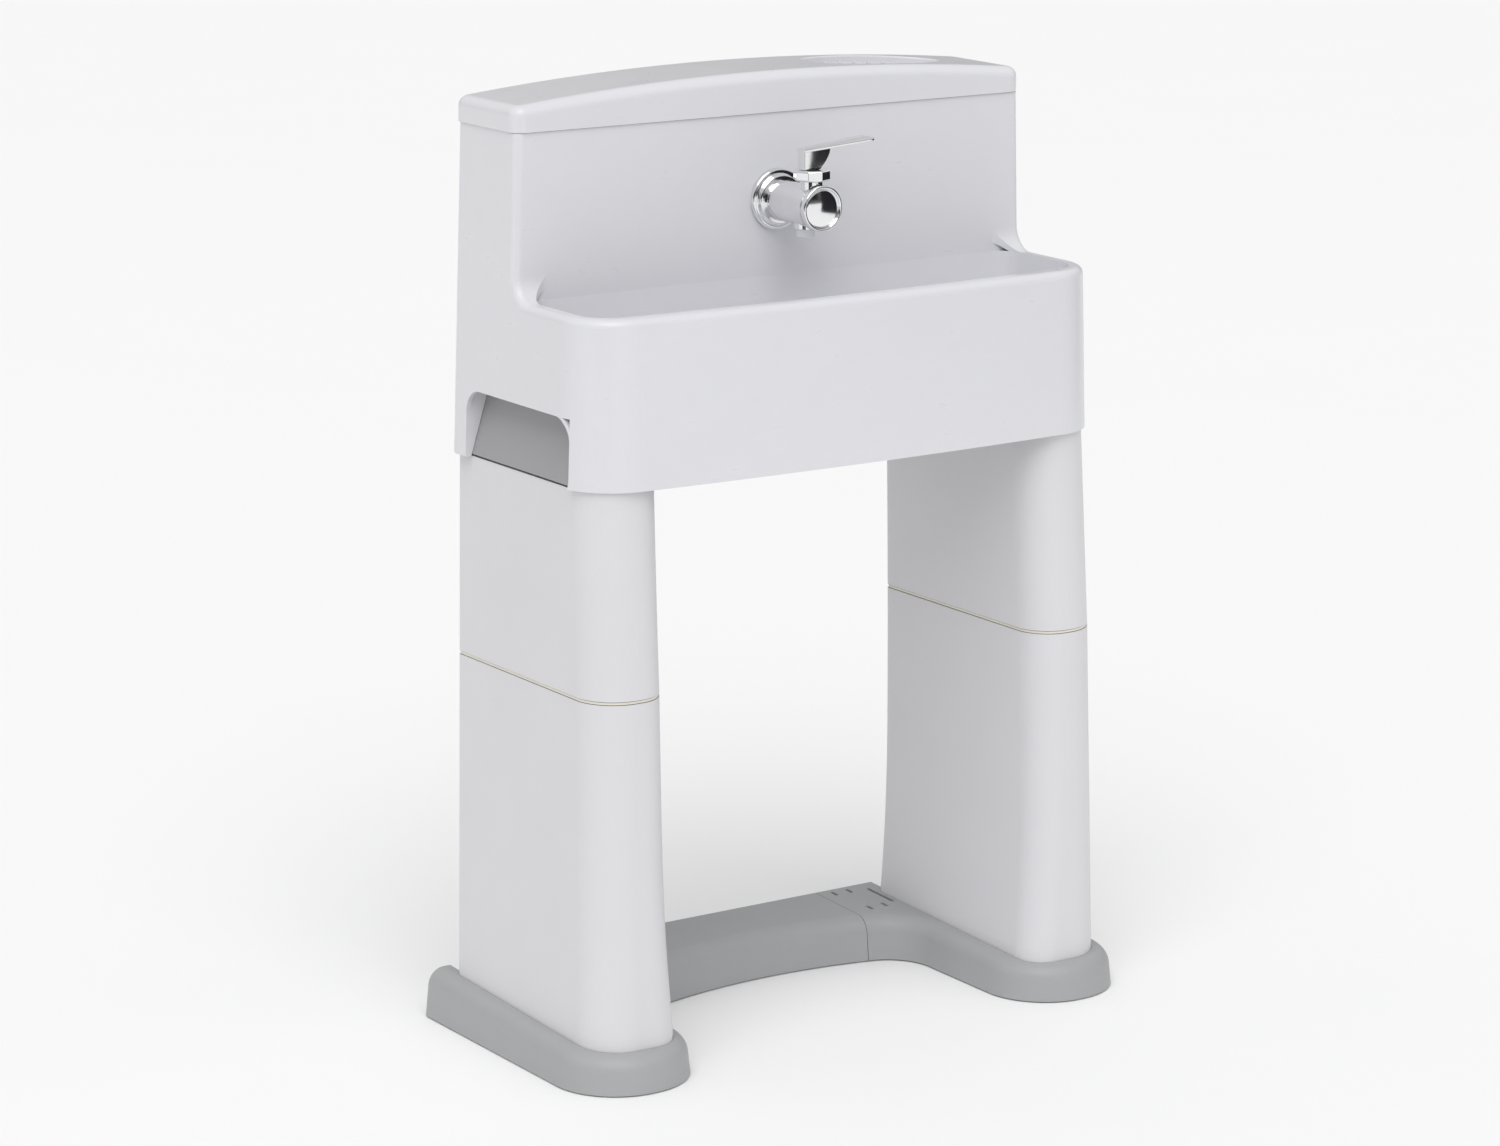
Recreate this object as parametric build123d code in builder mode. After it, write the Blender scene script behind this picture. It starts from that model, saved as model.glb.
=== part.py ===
from build123d import *
import math
import os

# Portable handwash sink for small children: a white basin with a lidded water tank behind it,
# on two hollow legs that stand in grey feet joined by a cross bar. Millimetres, +Z up, +Y to the
# rear. The origin is on the floor, at the centre of the base's outline.

os.makedirs("parts", exist_ok=True)

# ---- driving sizes -------------------------------------------------------------------------
base_width = 488.0
base_depth = 237.0
base_rear_height = 37.0
base_front_height = 27.5
seam_height = 281.0
leg_top_height = 433.0
housing_bottom = 432.0
rim_height = 553.0
lid_seam_height = 672.0
lid_end_rise = 18.5
lid_crown_rise = 30.0

# ---- clearances and gaps -------------------------------------------------------------------
part_gap = 0.4
slide_gap = 0.3
sleeve_gap = 0.6
moulding_gap = 0.25
running_gap = 0.05
overlap = 1.0
overrun = 20.0

# ---- feet and cross bar --------------------------------------------------------------------
pad_proud = 1.0
pad_thickness = 2.5
pad_radius = 9.0
foot_width = 104.0
foot_front_radius = 50.0
foot_knee_radius = 37.0
foot_draft = 6.0
foot_edge_radius = 13.0
foot_wall = 5.5
foot_shoulder_wall = 10.0
foot_shoulder_height = 18.0
foot_skin = 3.5
foot_socket_floor = 3.7
foot_notch_height = 22.0
foot_notch_width = 60.0
foot_notch_reach = 30.0
bar_depth = 62.5
bar_left_end = -77.0
bar_right_end = 109.0
bar_arch_x = 18.0
bar_arch_radius = 393.0
tongue_length = 46.0
tongue_thickness = 4.0
tongue_width = 51.0
latch_length = 8.5
latch_width = 3.0
latch_inset_near = 12.0
latch_inset_far = 26.0
latch_row_shift = 5.5
latch_row_spacing = 40.0
leg_slot_length = 35.0
leg_slot_inset = 5.7

# ---- legs ----------------------------------------------------------------------------------
leg_wall = 3.0
leg_waist_x = 162.2
leg_waist_height = 170.0
leg_foot_flare = 9.0
leg_top_flare = 2.9
leg_outer_inset = 20.9
leg_outer_lean = 0.018
leg_front_inset = 23.9
leg_front_lean_low = 0.029
leg_front_lean_high = 0.060
leg_rear_inset = 16.5
leg_rear_lean = 0.007
leg_inner_radius_low = 22.0
leg_inner_radius_high = 28.0
leg_outer_radius = 31.0
leg_rear_radius = 5.0
leg_top_skin = 3.0
plinth_inset = 8.0
ring_height = 2.6
ring_inset = 0.7
sleeve_length = 32.0
sleeve_wall = 2.5
boss_width = 34.0
boss_depth = 130.0
boss_height = 6.0
boss_corner_radius = 8.0

# ---- sink housing --------------------------------------------------------------------------
housing_side_inset = 17.0
housing_rear_inset = 10.5
housing_front_inset = 22.5
housing_draft = 1.7
housing_wall = 3.5
housing_front_bow = 8.0
housing_front_radius = 45.0
housing_rear_radius = 16.0
riser_depth = 90.5
riser_cove_radius = 18.0
riser_edge_radius = 6.0
rim_width = 12.0
bowl_depth = 62.0
bowl_draft = 6.0
bowl_front_radius = 24.0
bowl_rear_radius = 16.0
bowl_floor_radius = 16.0
rim_inner_radius = 2.5
shelf_height = 566.5
arch_front_y = -58.0
arch_length = 138.0
arch_height = 50.0
arch_front_radius = 28.0
arch_rear_radius = 17.0
arch_return_wall = 2.5
seat_rib_width = 34.0
seat_rib_height = 12.0

# ---- waste tub -----------------------------------------------------------------------------
tub_height = 48.0
tub_wall = 2.5
tub_flange = 8.0
tub_corner_radius = 26.0
tub_rim_gap = 8.0
grip_top_inset = 17.0
grip_bottom_inset = 2.2
grip_wall = 2.5

# ---- water tank and lid --------------------------------------------------------------------
tank_wall = 2.5
tank_side_gap = 4.0
tank_front_gap = 4.0
tank_rear_gap = 3.0
tank_corner_radius = 10.0
tank_flange = 2.0
tank_floor_radius = 4.0
shank_spare = 4.0
lid_overhang = 1.3
lid_wall = 3.0
lid_edge_radius = 8.0
lid_corner_radius = 10.0
lip_wall = 3.0
lip_depth = 10.0
lip_gap = 0.9
seal_height = 3.0
seal_groove = 1.5
seal_proud = 0.5
dish_x = 112.0
dish_half_length = 60.0
dish_half_width = 29.0
dish_depth = 5.0
dish_wall = 2.4
dish_rib_count = 7
dish_rib_width = 2.4
dish_rib_height = 1.6
dish_rib_angle = 32.0
dish_rib_pitch = 13.0
dish_rib_inset = 6.0
dish_rim_radius = 1.2

# ---- tap -----------------------------------------------------------------------------------
tap_height = 609.0
tap_flange_radius = 22.5
tap_flange_step_radius = 18.5
tap_flange_thickness = 4.0
tap_flange_step = 3.5
tap_barrel_radius = 15.0
tap_barrel_length = 47.0
tap_cap_radius = 16.8
tap_cap_length = 6.5
tap_cap_spigot = 1.5
tap_cap_recess_gap = 0.5
tap_cap_land = 4.0
tap_shank_radius = 10.0
tap_shank_hole_gap = 0.4
tap_bore_radius = 4.0
tap_port_radius = 3.0
tap_outlet_radius = 3.5
tap_socket_depth = 3.0
tap_boss_wall = 1.6
tap_boss_drop = 1.5
tap_valve_reach = 45.5
tap_neck_radius = 8.5
tap_neck_rise = 4.0
tap_collar_radius = 13.5
tap_collar_height = 8.0
tap_collar_sides = 8
tap_collar_chamfer = 0.8
stem_radius = 5.5
stem_foot_drop = 8.0
chamber_drop = 11.0
stem_tip_radius = 3.5
stem_tip_length = 8.0
oring_section = 1.2
spout_reach = 38.0
spout_radius = 7.0
spout_bore_radius = 4.0
spout_drop = 8.0
lever_web_height = 15.0
lever_web_width = 10.0
lever_heel = 9.7
lever_web_top = 13.4
lever_web_bottom = 6.0
lever_blade_length = 49.0
lever_blade_tip_width = 20.0
lever_blade_thickness = 2.4
lever_blade_rise = 5.0
lever_tip_radius = 2.5
lever_web_chamfer = 2.5
gasket_thickness = 1.0
gasket_radius = 15.0
nut_thickness = 7.0
nut_width = 32.0

# ---- drain ---------------------------------------------------------------------------------
drain_y = -34.0
drain_radius = 17.0
drain_wall = 3.0
drain_length = 24.0
drain_flange_radius = 23.0
drain_flange_thickness = 2.0
drain_ledge_drop = 7.0
drain_ledge_width = 2.5
drain_gasket_thickness = 2.5
drain_nut_thickness = 7.0
drain_nut_width = 50.0
strainer_thickness = 2.5
strainer_hole_radius = 1.4
strainer_inner_holes = 6
strainer_inner_circle = 6.0
strainer_outer_holes = 12
strainer_outer_circle = 10.3
strainer_knob_radius = 3.0
strainer_knob_height = 7.0
strainer_knob_rounding = 1.2

# ---- derived places ------------------------------------------------------------------------
half_base = base_width / 2
rear_y = base_depth / 2
front_y = -base_depth / 2
foot_inner_x = half_base - foot_width
top_slope = math.degrees(math.atan((base_rear_height - base_front_height) / base_depth))
bar_apex_y = rear_y - bar_depth

leg_outer_x = half_base - leg_outer_inset
leg_front_y = front_y + leg_front_inset
leg_rear_y = rear_y - leg_rear_inset
leg_foot_height = pad_proud + foot_socket_floor + part_gap
leg_body_top = housing_bottom - part_gap
boss_x = (leg_waist_x + leg_outer_x) / 2
boss_y = (leg_front_y + leg_rear_y) / 2
pad_front_y = leg_front_y + 2.5 * pad_radius
pad_rear_y = leg_rear_y - 2.0 * pad_radius

housing_half = half_base - housing_side_inset
housing_rear_y = rear_y - housing_rear_inset
housing_front_y = front_y + housing_front_inset
draft_ratio = math.tan(math.radians(housing_draft))
rim_shrink = draft_ratio * (rim_height - housing_bottom)
seam_shrink = draft_ratio * (lid_seam_height - housing_bottom)
riser_front_y = housing_rear_y - riser_depth
riser_half = housing_half - seam_shrink
riser_rear_y = housing_rear_y - seam_shrink
bowl_floor_height = rim_height - bowl_depth
arch_rear_y = arch_front_y + arch_length
arch_top = housing_bottom + arch_height
shelf_top = shelf_height + housing_wall

tub_bottom = leg_top_height + part_gap
tub_top = tub_bottom + tub_height
grip_bottom_x = housing_half - housing_wall - grip_bottom_inset
grip_top_x = housing_half - housing_wall - grip_top_inset

tank_half = riser_half - housing_wall - tank_side_gap
tank_front_y = riser_front_y + housing_wall + tank_front_gap
tank_rear_y = riser_rear_y - housing_wall - tank_rear_gap
tank_top = lid_seam_height - 1.0
lid_bottom = lid_seam_height + part_gap
dish_y = (riser_front_y + riser_rear_y) / 2

valve_y = riser_front_y - tap_valve_reach
spout_y = riser_front_y - spout_reach
barrel_front_y = riser_front_y - tap_flange_thickness - tap_flange_step - tap_barrel_length
collar_bottom = tap_height + tap_barrel_radius + tap_neck_rise
collar_top = collar_bottom + tap_collar_height
shank_end_y = tank_front_y + tank_wall + nut_thickness + shank_spare
tap_plane = Plane(origin=(0, riser_front_y, tap_height), z_dir=(0, 1, 0))


def bar_front(x):
    """Y of the bar's front edge on the floor, which bows to the rear in the middle."""
    reach = x - bar_arch_x
    return bar_apex_y - bar_arch_radius + math.sqrt(bar_arch_radius**2 - reach**2)


def base_outline(height, inset=0.0):
    """The whole base seen from above, run on behind its rear face so that a draft can't reach it."""
    behind = rear_y + foot_front_radius
    left_knee = (-foot_inner_x, bar_front(-foot_inner_x))
    right_knee = (foot_inner_x, bar_front(foot_inner_x))
    with BuildSketch(Plane.XY.offset(height)) as outline:
        with BuildLine():
            Polyline(
                left_knee,
                (-foot_inner_x, front_y),
                (-half_base, front_y),
                (-half_base, behind),
                (half_base, behind),
                (half_base, front_y),
                (foot_inner_x, front_y),
                right_knee,
            )
            ThreePointArc(right_knee, (bar_arch_x, bar_apex_y), left_knee)
        make_face()
        fillet(outline.vertices().group_by(Axis.Y)[0], foot_front_radius)
        fillet(outline.vertices().filter_by_position(Axis.Y, 0, bar_apex_y), foot_knee_radius)
        offset(amount=-inset, mode=Mode.REPLACE)
    return outline.sketch


def leg_section(height, inset=0.0):
    """The right-hand leg's outline at a height, moved in by inset. Inside the foot it is straight."""
    level = max(height, base_rear_height)
    rise = level - seam_height
    below = max(leg_waist_height - level, 0) / leg_waist_height
    above = max(level - leg_waist_height, 0) / (housing_bottom - leg_waist_height)
    lean = leg_front_lean_high if rise > 0 else leg_front_lean_low
    share = level / housing_bottom
    inner_radius = leg_inner_radius_low + share * (leg_inner_radius_high - leg_inner_radius_low)
    left = leg_waist_x - leg_foot_flare * below**2 - leg_top_flare * above**2 + inset
    right = leg_outer_x - leg_outer_lean * rise - inset
    front = leg_front_y + lean * rise + inset
    rear = leg_rear_y + leg_rear_lean * rise - inset
    with BuildSketch(Plane.XY.offset(height)) as section:
        with Locations(((left + right) / 2, (front + rear) / 2)):
            Rectangle(right - left, rear - front)
        fillet(section.vertices().group_by(Axis.Y)[-1], max(leg_rear_radius - inset, overlap))
        front_corners = section.vertices().group_by(Axis.Y)[0].sort_by(Axis.X)
        fillet(front_corners[0], inner_radius - inset)
        front_corners = section.vertices().group_by(Axis.Y)[0].sort_by(Axis.X)
        fillet(front_corners[-1], leg_outer_radius - inset)
    return section.sketch


def leg_loft(heights, inset=0.0):
    """The leg's outlines at several heights, to be lofted one into the next."""
    return [leg_section(height, inset) for height in heights]


def even_heights(low, high, count=4):
    """Heights spaced evenly from low to high, both ends included."""
    return [low + (high - low) * step / (count - 1) for step in range(count)]


def housing_outline(height, inset, front_radius, rear_radius, rear=None):
    """The housing seen from above: straight sides and rear, bowed front, rounded corners."""
    half = housing_half - inset
    front = housing_front_y + inset
    back = housing_rear_y - inset if rear is None else rear
    corner_y = front + housing_front_bow
    with BuildSketch(Plane.XY.offset(height)) as outline:
        with BuildLine():
            Polyline((half, corner_y), (half, back), (-half, back), (-half, corner_y))
            ThreePointArc((-half, corner_y), (0, front), (half, corner_y))
        make_face()
        fillet(outline.vertices().group_by(Axis.Y)[0], front_radius)
        fillet(outline.vertices().group_by(Axis.Y)[-1], rear_radius)
    return outline.sketch


def riser_outline(height, inset, radius):
    """The riser's box seen from above at the lid's seam, moved in by inset."""
    with BuildSketch(Plane.XY.offset(height)) as outline:
        with Locations((0, (riser_front_y + riser_rear_y) / 2)):
            RectangleRounded(
                2 * (riser_half - inset), riser_rear_y - riser_front_y - 2 * inset, radius
            )
    return outline.sketch


def step_profile(lift, setback):
    """Side view of the space over the rim and ahead of the riser, with its cove."""
    floor = rim_height - lift
    wall = riser_front_y + setback
    cove = riser_cove_radius + lift
    above = lid_seam_height + overrun
    ahead = front_y - 3 * overrun
    with BuildSketch(Plane.YZ) as profile:
        with BuildLine():
            Polyline((wall, floor + cove), (wall, above), (ahead, above), (ahead, floor))
            Line((ahead, floor), (wall - cove, floor))
            RadiusArc((wall - cove, floor), (wall, floor + cove), -cove)
        make_face()
    return profile.sketch


def arch_profile(x, grow=0.0):
    """The hand hold in the skirt's side at a given X: an arch that is open at the bottom."""
    with BuildSketch(Plane.YZ.offset(x)) as profile:
        with BuildLine():
            Polyline(
                (arch_front_y - grow, housing_bottom - overrun),
                (arch_front_y - grow, arch_top + grow),
                (arch_rear_y + grow, arch_top + grow),
                (arch_rear_y + grow, housing_bottom - overrun),
                close=True,
            )
        make_face()
        top = profile.vertices().group_by(Axis.Z)[-1].sort_by(Axis.Y)
        fillet(top[0], arch_front_radius + grow)
        top = profile.vertices().sort_by(Axis.Y)[-2:].sort_by(Axis.Z)
        fillet(top[-1], arch_rear_radius + grow)
    return profile.sketch


def crown_profile(bottom, drop):
    """Front view of the lid's height, arched along X, lowered by drop."""
    half = riser_half + 2 * lid_corner_radius
    sagitta = lid_crown_rise - lid_end_rise
    radius = (riser_half**2 + sagitta**2) / (2 * sagitta)
    top = lid_seam_height + lid_crown_rise - drop
    end = top - radius + math.sqrt(radius**2 - half**2)
    with BuildSketch(Plane.XZ) as profile:
        with BuildLine():
            Polyline((half, end), (half, bottom), (-half, bottom), (-half, end))
            ThreePointArc((-half, end), (0, top), (half, end))
        make_face()
    return profile.sketch


# ---- base: one moulded form, cut at the seams into two feet and a bar -----------------------
rear_plane = Plane(origin=(0, rear_y, 0), z_dir=(0, -1, 0))
inner_rear_plane = rear_plane.offset(foot_skin)
top_plane = Plane(
    origin=(0, rear_y, base_rear_height),
    z_dir=(0, math.sin(math.radians(top_slope)), -math.cos(math.radians(top_slope))),
)
under_plane = top_plane.offset(foot_skin)
form_height = base_rear_height + overrun
form_shrink = form_height * math.tan(math.radians(foot_draft))

with BuildPart() as base_hollow:
    extrude(base_outline(pad_proud, foot_wall), amount=foot_shoulder_height - pad_proud)
    extrude(base_outline(pad_proud, foot_shoulder_wall), amount=form_height)
    split(bisect_by=inner_rear_plane, keep=Keep.TOP)
    split(bisect_by=under_plane, keep=Keep.TOP)

with BuildPart() as base_form:
    loft([base_outline(pad_proud), base_outline(pad_proud + form_height, form_shrink)], ruled=True)
    split(bisect_by=rear_plane, keep=Keep.TOP)
    split(bisect_by=top_plane, keep=Keep.TOP)
    top_edges = base_form.faces().sort_by(Axis.Z)[-1].edges()
    fillet(top_edges.filter_by(lambda edge: edge.center().Y < rear_y - overlap), foot_edge_radius)
    add(base_hollow.part, mode=Mode.SUBTRACT)

# ---- legs ----------------------------------------------------------------------------------
flare_heights = even_heights(base_rear_height, leg_waist_height)
flare_heights += even_heights(leg_waist_height, seam_height, 3)[1:]
with BuildPart() as lower_leg_right:
    extrude(leg_section(leg_foot_height), amount=base_rear_height - leg_foot_height)
    loft(leg_loft(flare_heights))
    extrude(
        leg_section(leg_foot_height, leg_wall),
        amount=base_rear_height - leg_foot_height,
        mode=Mode.SUBTRACT,
    )
    loft(leg_loft(flare_heights, leg_wall), mode=Mode.SUBTRACT)
lower_leg_right.part.label = "lower_leg_right"
export_step(lower_leg_right.part, "parts/lower_leg_right.step")

with BuildPart() as lower_leg_left:
    mirror(lower_leg_right.part, about=Plane.YZ)
lower_leg_left.part.label = "lower_leg_left"
export_step(lower_leg_left.part, "parts/lower_leg_left.step")

ring_top = seam_height + ring_height
sleeve_bottom = seam_height - sleeve_length
sleeve_top = ring_top + sleeve_length
sleeve_inset = leg_wall + sleeve_gap
with BuildPart() as leg_coupler_right:
    loft([leg_section(seam_height, ring_inset), leg_section(ring_top, ring_inset)])
    loft([leg_section(sleeve_bottom, sleeve_inset), leg_section(sleeve_top, sleeve_inset)])
    loft(
        [
            leg_section(sleeve_bottom, sleeve_inset + sleeve_wall),
            leg_section(sleeve_top, sleeve_inset + sleeve_wall),
        ],
        mode=Mode.SUBTRACT,
    )
leg_coupler_right.part.label = "leg_coupler_right"
export_step(leg_coupler_right.part, "parts/leg_coupler_right.step")

with BuildPart() as leg_coupler_left:
    mirror(leg_coupler_right.part, about=Plane.YZ)
leg_coupler_left.part.label = "leg_coupler_left"
export_step(leg_coupler_left.part, "parts/leg_coupler_left.step")

upper_heights = even_heights(ring_top, leg_body_top)
hollow_heights = even_heights(ring_top, leg_body_top - leg_top_skin)
with BuildPart() as upper_leg_right:
    loft(leg_loft(upper_heights))
    loft(leg_loft(hollow_heights, leg_wall), mode=Mode.SUBTRACT)
    extrude(leg_section(leg_body_top, plinth_inset), amount=leg_top_height - leg_body_top)
    with BuildSketch(Plane.XY.offset(leg_top_height)):
        with Locations((boss_x, boss_y)):
            RectangleRounded(boss_width, boss_depth, boss_corner_radius)
    extrude(amount=boss_height)
upper_leg_right.part.label = "upper_leg_right"
export_step(upper_leg_right.part, "parts/upper_leg_right.step")

with BuildPart() as upper_leg_left:
    mirror(upper_leg_right.part, about=Plane.YZ)
upper_leg_left.part.label = "upper_leg_left"
export_step(upper_leg_left.part, "parts/upper_leg_left.step")

# ---- feet ----------------------------------------------------------------------------------
socket_wall = foot_skin + slide_gap
socket_floor_height = pad_proud + foot_socket_floor
foot_top_share = (leg_waist_height - base_rear_height) / leg_waist_height
leg_slot_x = leg_waist_x - leg_foot_flare * foot_top_share**2 - leg_slot_inset


def foot(seam_x):
    """The right-hand foot from its seam with the bar outwards, with its socket for the leg."""
    rows = latch_row_spacing / 2
    latch_y = rear_y - foot_skin - slide_gap - tongue_width / 2
    near_x = seam_x + latch_inset_near
    far_x = seam_x + latch_inset_far
    with BuildPart() as foot_form:
        add(base_form.part)
        split(bisect_by=Plane.YZ.offset(seam_x + moulding_gap), keep=Keep.TOP)
        with BuildSketch(Plane.XY.offset(pad_proud)):
            offset(leg_section(pad_proud), amount=socket_wall)
        extrude(amount=foot_shoulder_height)
        extrude(
            offset(leg_section(socket_floor_height), amount=slide_gap),
            amount=base_rear_height,
            mode=Mode.SUBTRACT,
        )
        with BuildSketch(Plane.XY.offset(foot_notch_height)):
            with Locations((boss_x, rear_y)):
                Rectangle(foot_notch_width, 2 * foot_notch_reach)
        extrude(amount=base_rear_height, mode=Mode.SUBTRACT)
        with BuildSketch(Plane.XY.offset(foot_shoulder_height)):
            with Locations(
                (near_x, latch_y + rows),
                (far_x, latch_y + rows),
                (near_x + latch_row_shift, latch_y - rows),
                (far_x + latch_row_shift, latch_y - rows),
            ):
                Rectangle(latch_width, latch_length)
            with Locations((leg_slot_x, latch_y)):
                Rectangle(latch_width, leg_slot_length)
        extrude(amount=base_rear_height, mode=Mode.SUBTRACT)
        with BuildSketch(Plane.XY):
            with Locations((boss_x, pad_front_y), (boss_x, pad_rear_y)):
                Circle(pad_radius)
        extrude(amount=pad_thickness, mode=Mode.SUBTRACT)
    return foot_form.part


with BuildPart() as right_foot:
    add(foot(bar_right_end))
right_foot.part.label = "right_foot"
export_step(right_foot.part, "parts/right_foot.step")

with BuildPart() as left_foot:
    mirror(foot(-bar_left_end), about=Plane.YZ)
left_foot.part.label = "left_foot"
export_step(left_foot.part, "parts/left_foot.step")

# ---- cross bar, with a latch tongue at each end ---------------------------------------------
skin_front_height = base_rear_height - foot_skin - (foot_skin + tongue_width + 4) * math.tan(
    math.radians(top_slope)
)
tongue_top = skin_front_height - slide_gap
tongue_y = rear_y - foot_skin - slide_gap - tongue_width / 2
catch_rise = base_rear_height - foot_skin - tongue_top

with BuildPart() as cross_bar:
    add(base_form.part)
    split(bisect_by=Plane.YZ.offset(bar_right_end - moulding_gap), keep=Keep.BOTTOM)
    split(bisect_by=Plane.YZ.offset(bar_left_end + moulding_gap), keep=Keep.TOP)
    for seam_x, outwards in ((bar_right_end, 1), (bar_left_end, -1)):
        bulkhead_x = seam_x - outwards * (moulding_gap + foot_skin / 2)
        with BuildSketch(Plane.XY.offset(pad_proud)):
            with Locations((bulkhead_x, tongue_y)):
                Rectangle(foot_skin, tongue_width)
        extrude(amount=tongue_top - pad_proud)
        with BuildSketch(Plane.XY.offset(tongue_top)):
            with Locations((bulkhead_x, tongue_y)):
                Rectangle(foot_skin, tongue_width - 2 * foot_skin)
        extrude(amount=foot_skin)
        with BuildSketch(Plane.XY.offset(tongue_top - tongue_thickness)):
            with Locations((bulkhead_x + outwards * tongue_length / 2, tongue_y)):
                Rectangle(tongue_length, tongue_width - 2 * slide_gap)
        extrude(amount=tongue_thickness)
        near_x = seam_x + outwards * latch_inset_near
        far_x = seam_x + outwards * latch_inset_far
        shift = outwards * latch_row_shift
        rows = latch_row_spacing / 2
        with BuildSketch(Plane.XY.offset(tongue_top)):
            with Locations(
                (near_x, tongue_y + rows),
                (far_x, tongue_y + rows),
                (near_x + shift, tongue_y - rows),
                (far_x + shift, tongue_y - rows),
            ):
                Rectangle(latch_width - 2 * slide_gap, latch_length - 2 * slide_gap)
        extrude(amount=catch_rise)
cross_bar.part.label = "cross_bar"
export_step(cross_bar.part, "parts/cross_bar.step")

with BuildPart() as rubber_pads:
    with BuildSketch(Plane.XY):
        with Locations((boss_x, pad_front_y), (boss_x, pad_rear_y)):
            Circle(pad_radius)
        with Locations((-boss_x, pad_front_y), (-boss_x, pad_rear_y)):
            Circle(pad_radius)
    extrude(amount=pad_thickness)
    chamfer(rubber_pads.edges().group_by(Axis.Z)[0], 0.4)
rubber_pads.part.label = "rubber_pads"
export_step(rubber_pads.part, "parts/rubber_pads.step")

# ---- sink housing: skirt, rim, bowl and the riser that holds the tank ------------------------
shrink_front_radius = housing_front_radius - seam_shrink
shrink_rear_radius = housing_rear_radius - seam_shrink
skirt_low = housing_outline(housing_bottom, 0, housing_front_radius, housing_rear_radius)
skirt_high = housing_outline(lid_seam_height, seam_shrink, shrink_front_radius, shrink_rear_radius)
cavity_low = housing_outline(
    housing_bottom,
    housing_wall,
    housing_front_radius - housing_wall,
    housing_rear_radius - housing_wall,
)
cavity_high = housing_outline(
    lid_seam_height,
    seam_shrink + housing_wall,
    shrink_front_radius - housing_wall,
    shrink_rear_radius - housing_wall,
)

with BuildPart() as housing_form:
    loft([skirt_low, skirt_high], ruled=True)
    extrude(step_profile(0, 0), amount=base_width / 2, both=True, mode=Mode.SUBTRACT)

with BuildPart() as housing_cavity:
    loft([cavity_low, cavity_high], ruled=True)
    extrude(
        step_profile(housing_wall, housing_wall),
        amount=base_width / 2,
        both=True,
        mode=Mode.SUBTRACT,
    )
    with BuildSketch(Plane.XY.offset(shelf_height)):
        with Locations((0, rear_y)):
            Rectangle(base_width, 2 * (rear_y - riser_front_y))
    extrude(amount=housing_wall, mode=Mode.SUBTRACT)

bowl_inset = rim_shrink + rim_width
bowl_shrink = bowl_depth * math.tan(math.radians(bowl_draft))
bowl_rim = housing_outline(
    rim_height, bowl_inset, bowl_front_radius, bowl_rear_radius, riser_front_y
)
bowl_floor = housing_outline(
    bowl_floor_height,
    bowl_inset + bowl_shrink,
    bowl_front_radius - bowl_shrink,
    bowl_rear_radius - bowl_shrink,
    riser_front_y - bowl_shrink,
)
with BuildPart() as bowl_space:
    loft([bowl_floor, bowl_rim], ruled=True)
    fillet(bowl_space.faces().sort_by(Axis.Z)[0].edges(), bowl_floor_radius)
    extrude(bowl_rim, amount=riser_cove_radius)

with BuildPart() as bowl_shell:
    loft(
        [
            housing_outline(
                bowl_floor_height - housing_wall,
                bowl_inset + bowl_shrink - housing_wall,
                bowl_front_radius - bowl_shrink + housing_wall,
                bowl_rear_radius - bowl_shrink + housing_wall,
                riser_front_y - bowl_shrink + housing_wall,
            ),
            housing_outline(
                rim_height,
                bowl_inset - housing_wall,
                bowl_front_radius + housing_wall,
                bowl_rear_radius + housing_wall,
                riser_front_y + housing_wall,
            ),
        ],
        ruled=True,
    )
    fillet(bowl_shell.faces().sort_by(Axis.Z)[0].edges(), bowl_floor_radius)

with BuildPart() as riser_foot:
    with BuildSketch(Plane.XY.offset(rim_height - overlap)):
        with Locations((0, riser_front_y + housing_wall / 2)):
            Rectangle(2 * (housing_half - bowl_inset), housing_wall)
    extrude(amount=overlap + riser_cove_radius + housing_wall)

grip_rise = tub_top - tub_bottom
grip_run = grip_bottom_x - grip_top_x
grip_normal = Vector(grip_rise, 0, grip_run).normalized()
grip_plane = Plane(origin=(grip_bottom_x, 0, tub_bottom), z_dir=grip_normal)
grip_start_x = grip_top_x - 5
grip_length = housing_half - housing_wall / 2 - grip_start_x
with BuildPart() as grip_return:
    add(housing_form.part)
    extrude(arch_profile(grip_start_x, arch_return_wall), amount=grip_length, mode=Mode.INTERSECT)
    extrude(arch_profile(grip_start_x), amount=grip_length, mode=Mode.SUBTRACT)
    split(bisect_by=grip_plane.offset(part_gap), keep=Keep.TOP)

rib_reach = 2 * (housing_wall + tub_rim_gap + tub_flange)
with BuildPart() as seat_ribs:
    add(housing_form.part)
    with BuildSketch(Plane.XY.offset(tub_top + part_gap)):
        for rib_x in (-boss_x + seat_rib_width, boss_x - seat_rib_width):
            for rib_y in (housing_front_y, housing_rear_y):
                with Locations((rib_x, rib_y)):
                    Rectangle(seat_rib_width, rib_reach)
    extrude(amount=seat_rib_height, mode=Mode.INTERSECT)

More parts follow.
